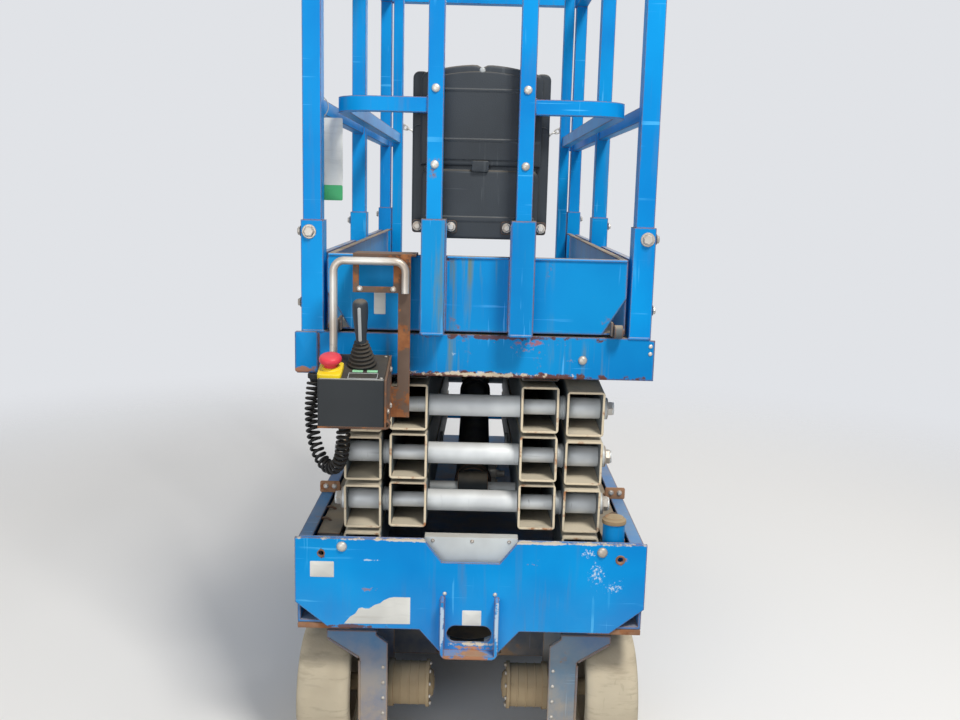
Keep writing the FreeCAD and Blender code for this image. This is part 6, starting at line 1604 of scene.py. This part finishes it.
@dataclass
class TrayDoors(Part):
    """Panels, latches, hinges and louvres of the swing-out trays, and the fittings of what stands in them."""

    skin: float = 0.378
    front: float = -0.385
    back: float = 0.5325
    first: float = -0.331
    pitch: float = 0.21463

    def build(self) -> None:
        """Make both doors and what stands in the trays."""
        for side, body in ((Side.LEFT, "battery_bay"), (Side.RIGHT, "hydraulic_bay")):
            self.door(side, body)
        self.cables()
        self.hoses()

    def door(self, side: Side, body: str) -> None:
        """A pressed panel, its latch and louvres, on the cover's outer face.

        Args:
            side: The machine's side.
            body: The body that the door swings with.
        """
        s, face = side.value, Axis.X if side is Side.RIGHT else Axis.LEFT
        panels, trim = Surface(), Surface()
        middle = (self.front + self.back) / 2
        plate(panels, (s * (self.skin + 0.001), middle + 0.10, 0.216), (0.66, 0.150, 0.005), 0.014, 0.002, face)
        for y in (0.165, 0.205, 0.245, 0.285, 0.325):
            plate(panels, (s * (self.skin + 0.0035), y, 0.216), (0.014, 0.096, 0.006), 0.006, 0.0025, face)
        name = "battery" if side is Side.LEFT else "hydraulic"
        self.keep(panels, f"tray_panel_{name}", body, Finish.BLUE_LOW, "blue_paint")
        plate(trim, (s * (self.skin + 0.002), -0.355, 0.235), (0.028, 0.060, 0.006), 0.010, 0.002, face)
        trim.turn(((0, 0), (0, 0.0085), (0.004, 0.0085), (0.0055, 0.007), (0.0055, 0)),
                  (s * (self.skin + 0.004), -0.355, 0.235), face, 28)
        for z in (0.155, 0.322):
            plate(trim, (s * (self.skin + 0.0012), self.back - 0.050, z), (0.036, 0.026, 0.004), 0.004, 0.001, face)
            fasten(trim, Fastener.DOME, [(s * (self.skin + 0.003), self.back - k, z) for k in (0.042, 0.058)], face,
                   0.0038)
        self.keep(trim, f"tray_latch_{name}", body, Finish.BOLT, "pin_steel")
        grip = Surface()
        outline = rounded_rectangle(0.118, 0.034, 0.012)
        hole = rounded_rectangle(0.102, 0.018, 0.006)
        flat = np.stack([outline, hole])
        depth = np.array((self.skin + 0.0002, self.skin + 0.0030, self.skin + 0.0030, self.skin + 0.0002))
        loops = flat[[0, 0, 1, 1]] + (-0.260, 0.309)
        rows = np.concatenate([np.broadcast_to((s * depth)[:, None, None], (4, len(outline), 1)), loops], axis=2)
        grip.grid(rows, close_rows=True)
        self.keep(grip, f"tray_grip_{name}", body, Finish.PLASTIC)

    def cables(self) -> None:
        """Cables in low arcs from post to post, and three filler caps along each battery."""
        caps, cables, clamps = Surface(), Surface(), Surface()
        share = np.linspace(0, 1, 24)[:, None]
        for index in range(4):
            low = self.first + self.pitch * index
            high = low + self.pitch - 0.016
            posts = (low + 0.032, high - 0.032)
            for x in (-0.200, -0.250, -0.300):
                caps.turn(((0, 0), (0, 0.013), (0.004, 0.0135), (0.008, 0.012), (0.008, 0)),
                          (x, (low + high) / 2, 0.298), Axis.Z, 12)
            for y in posts:
                clamps.turn(((0, 0), (0, 0.0135), (0.010, 0.0135), (0.012, 0.011), (0.012, 0)), (-0.142, y, 0.2995),
                            Axis.Z, 16)
            if index < 3:
                run = share * (0, self.pitch - (posts[1] - posts[0]), 0)
                path = np.array((-0.142, posts[1], 0.306)) + run + np.sin(share * math.pi) * (-0.018, 0, 0.010)
                cables.rod(path, 0.0055, 10, Axis.X)
        self.keep(caps, "battery_caps", "battery_bay", Finish.YELLOW)
        self.keep(clamps, "battery_clamps", "battery_bay", Finish.BOLT)
        self.keep(cables, "battery_cables", "battery_bay", Finish.RED, smooth=SOFT)

    def hoses(self) -> None:
        """Pipes from the pump's block to the tank in smooth bows, with a fitting at each end."""
        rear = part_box("hydraulic_unit")[1][1]
        pipes, fittings = Surface(), Surface()
        share = np.linspace(0, 1, 30)[:, None]
        for x, lift in ((0.200, 0.030), (0.235, 0.040)):
            path = np.array((x, rear - 0.300, 0.262)) + share * (0, -0.130, 0.0)
            path = path + np.sin(share * math.pi) * (0, 0, lift)
            pipes.rod(path, 0.0065, 12, Axis.X)
            for end in (path[0], path[-1]):
                fittings.turn(((-0.012, 0), (-0.012, 0.0095), (0.006, 0.0095), (0.008, 0.008), (0.008, 0)), end,
                              Axis.Z, 6)
        self.keep(pipes, "pump_pipes", "hydraulic_bay", Finish.CORD, smooth=SOFT)
        self.keep(fittings, "pump_fittings", "hydraulic_bay", Finish.BOLT)


@dataclass
class LadderTreads(Part):
    """Studded treads on the entry ladder's rungs, its welds and the bolts of the chassis' rear."""

    rungs: tuple[float, ...] = (0.238, 0.449, 0.660, 0.871)
    behind: float = 0.926

    def build(self) -> None:
        """Make the treads."""
        treads, beads, bolts = Surface(), Surface(), Surface()
        stud = ((0, 0), (0, 0.0042), (0.0012, 0.0036), (0.0018, 0.002), (0.0018, 0))
        for z in self.rungs:
            plate(treads, (0, self.behind, z + 0.0150), (0.360, 0.0265, 0.003), 0.003, 0.001, Axis.Z)
            for x in np.linspace(-0.165, 0.165, 16):
                for y in (-0.006, 0.006):
                    treads.turn(stud, (x, self.behind + y, z + 0.0162), Axis.Z, 8)
            for side in Side:
                x = side.value * 0.1825
                for k in (-0.014, 0.014):
                    weld(beads, (x, 0.914, z + k), (x, 0.9385, z + k), 0.0026)
        for side in Side:
            fasten(bolts, Fastener.HEX, [(side.value * x, 0.877, z) for x in (0.30, 0.345) for z in (0.235, 0.345)],
                   Axis.Y, 0.009)
        self.keep(treads, "ladder_treads", "chassis", Finish.FRAME_GREY)
        self.keep(beads, "ladder_welds", "chassis", Finish.BLUE, "blue_paint", smooth=SOFT)
        self.keep(bolts, "rear_plate_bolts", "chassis", Finish.BOLT)


@dataclass
class Studio:
    """Pale floor, soft lamps, a pale world and the camera."""

    position: tuple[float, float, float] = (0.002, -2.783, 1.314)
    yaw: float = math.radians(0.21)
    pitch: float = math.radians(9.90)
    roll: float = math.radians(-1.43)
    focal: float = 965.5

    def build(self) -> None:
        """Make the stage, the lights and the camera."""
        self.floor()
        self.lamps()
        self.camera()

    def floor(self) -> None:
        """Flat pale floor that thins out with distance, so that it ends in the world without an edge."""
        x = np.linspace(-16, 16, 9)
        rows = np.stack([*np.meshgrid(x, x), np.zeros((9, 9))], axis=-1)
        obj = Surface().grid(rows, close_columns=False, caps=False).mesh("studio_floor", 60.0)
        material, w, shader = new_material("studio_pale")
        path = w.add("LightPath")
        seen = w.larger(path.outputs["Is Camera Ray"], path.outputs["Is Glossy Ray"])
        w.feed(shader.inputs["Base Color"], w.mix(seen, (0.52, 0.51, 0.49), (0.83, 0.82, 0.80)))
        far = w.add("VectorMath", {"operation": "LENGTH"}, in_0=w.place()).outputs["Value"]
        w.feed(shader.inputs["Alpha"], w.ramp(far, 1.8, 4.4, 1.0, 0.0))
        shader.inputs["Roughness"].default_value = 0.9
        obj.data.materials.append(material)

    def lamps(self) -> None:
        """Key from the upper right front, broad fills and a pale world, paler where the camera and gloss see it."""
        self.area("key", (1.4, -3.1, 4.9), 1.0, 205.0, (1.0, 0.97, 0.92))
        self.area("front", (-1.2, -4.4, 1.3), 2.6, 54.0, (0.97, 0.98, 1.0))
        self.area("top", (0.0, 0.6, 4.6), 3.0, 35.0, (1.0, 1.0, 1.0))
        self.area("rear", (1.6, 4.2, 3.0), 2.6, 45.0, (1.0, 1.0, 1.0))
        world = bpy.data.worlds.new("studio")
        bpy.context.scene.world = world
        world.use_nodes = True
        w = Wiring(world.node_tree)
        world.node_tree.nodes.clear()
        path = w.add("LightPath")
        glossy = w.times(path.outputs["Is Glossy Ray"], 0.50)
        camera = w.times(path.outputs["Is Camera Ray"], 0.46)
        back = w.add("Background", Color=(0.94, 0.96, 1.0), Strength=w.plus(0.34, w.plus(glossy, camera)))
        w.feed(w.add("OutputWorld").inputs["Surface"], back.outputs[0])

    def area(self, name: str, place: Point, size: float, power: float, colour: Colour) -> None:
        """A square lamp aimed at the machine's middle."""
        lamp = bpy.data.lights.new(name, "AREA")
        lamp.size, lamp.energy, lamp.color = size, power, colour
        obj = bpy.data.objects.new(name, lamp)
        obj.location = place
        obj.rotation_euler = (Vector((0.0, 0.0, 0.8)) - Vector(place)).to_track_quat("-Z", "Y").to_euler()
        bpy.context.scene.collection.objects.link(obj)

    def camera(self) -> None:
        """Camera at the photograph's place: ahead, tipped down and rolled a little."""
        forward = np.array([math.sin(self.yaw), math.cos(self.yaw), 0.0])
        right = np.array([math.cos(self.yaw), -math.sin(self.yaw), 0.0])
        up = np.array([0.0, 0.0, 1.0])
        ahead = forward * math.cos(self.pitch) - up * math.sin(self.pitch)
        above = up * math.cos(self.pitch) + forward * math.sin(self.pitch)
        side = right * math.cos(self.roll) - above * math.sin(self.roll)
        above = above * math.cos(self.roll) + right * math.sin(self.roll)
        data = bpy.data.cameras.new("camera")
        data.sensor_fit = "HORIZONTAL"
        data.sensor_width = SENSOR_WIDE
        data.lens = self.focal / IMAGE_WIDE * SENSOR_WIDE
        data.clip_start = 0.05
        obj = bpy.data.objects.new("camera", data)
        obj.matrix_world = Matrix([[side[k], above[k], -ahead[k],
                                    self.position[k]] for k in range(3)] + [[0, 0, 0, 1]])
        bpy.context.scene.collection.objects.link(obj)
        bpy.context.scene.camera = obj


NODE_FINISHES: dict[Finish, tuple[str, ...]] = {
    Finish.BLUE: ("main_rails_left", "main_rails_right", "entry_arch", "extension_rails", "ladder"),
    Finish.BLUE_WORN: ("platform_deck", "extension_deck"),
    Finish.BLUE_LOW: ("chassis_tub", "battery_tray", "hydraulic_tray"),
    Finish.BLUE_UNDER: ("chassis_spine",),
    Finish.BLUE_GEAR: ("steer_yoke_left", "steer_yoke_right"),
    Finish.PLATE: ("front_plate",),
    Finish.FRAME_GREY: ("chassis_tracks", "rear_axle", "tie_rod", "pothole_guard_left", "pothole_guard_right"),
    Finish.DARK: ("lift_barrel",),
    Finish.ARM: tuple(f"{kind}_arm_{level}" for kind in ("inner", "outer") for level in (1, 2, 3, 4)),
    Finish.PIN: ("low_slide_pin", "cylinder_base_pin", *(f"arm_pins_{level}" for level in (1, 2, 3, 4))),
    Finish.CHROME: ("lift_rod",),
    Finish.TYRE: tuple(f"tyre_{end}_{side}" for end in ("front", "rear") for side in ("left", "right")),
    Finish.RIM: tuple(f"rim_{end}_{side}" for end in ("front", "rear") for side in ("left", "right")),
    Finish.CAST: ("drive_motor_left", "drive_motor_right"),
    Finish.GUARD: ("inner_guard",),
    Finish.PLASTIC: ("manual_box", "joystick"),
    Finish.CASE: ("control_box", "hydraulic_unit"),
    Finish.RED: ("stop_button",),
    Finish.HOOP: ("control_hoop",),
    Finish.BRACKET: ("control_bracket",),
    Finish.CHAIN: ("entry_chain",),
    Finish.BATTERY: ("batteries",),
    Finish.CORD: ("curly_cord", "drive_hose"),
}

PARTS = (CurlyCord, DriveHose, EntryChain, FrontPlateTrim, TubCorners, DriveGear, Wheels, PinEnds, CylinderFittings,
         DeckFittings, ExtensionFittings, ManualBox, ControlStation, TrayDoors, LadderTreads)


def main() -> None:
    """Dress the frame and add the pieces in order."""
    logging.basicConfig(level=logging.INFO, format="%(message)s")
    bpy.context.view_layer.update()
    bpy.context.scene.view_settings.view_transform = "Standard"
    Studio().build()
    machine = Machine(Paintbox())
    for part in PARTS:
        before = len(machine.made)
        part(machine).build()
        LOG.info("%s: %d pieces", part.__name__, len(machine.made) - before)
    for finish, nodes in NODE_FINISHES.items():
        for node in nodes:
            machine.paint.dress(node, finish)
    LOG.info("%d pieces added", len(machine.made))


if __name__ == "__main__":
    main()
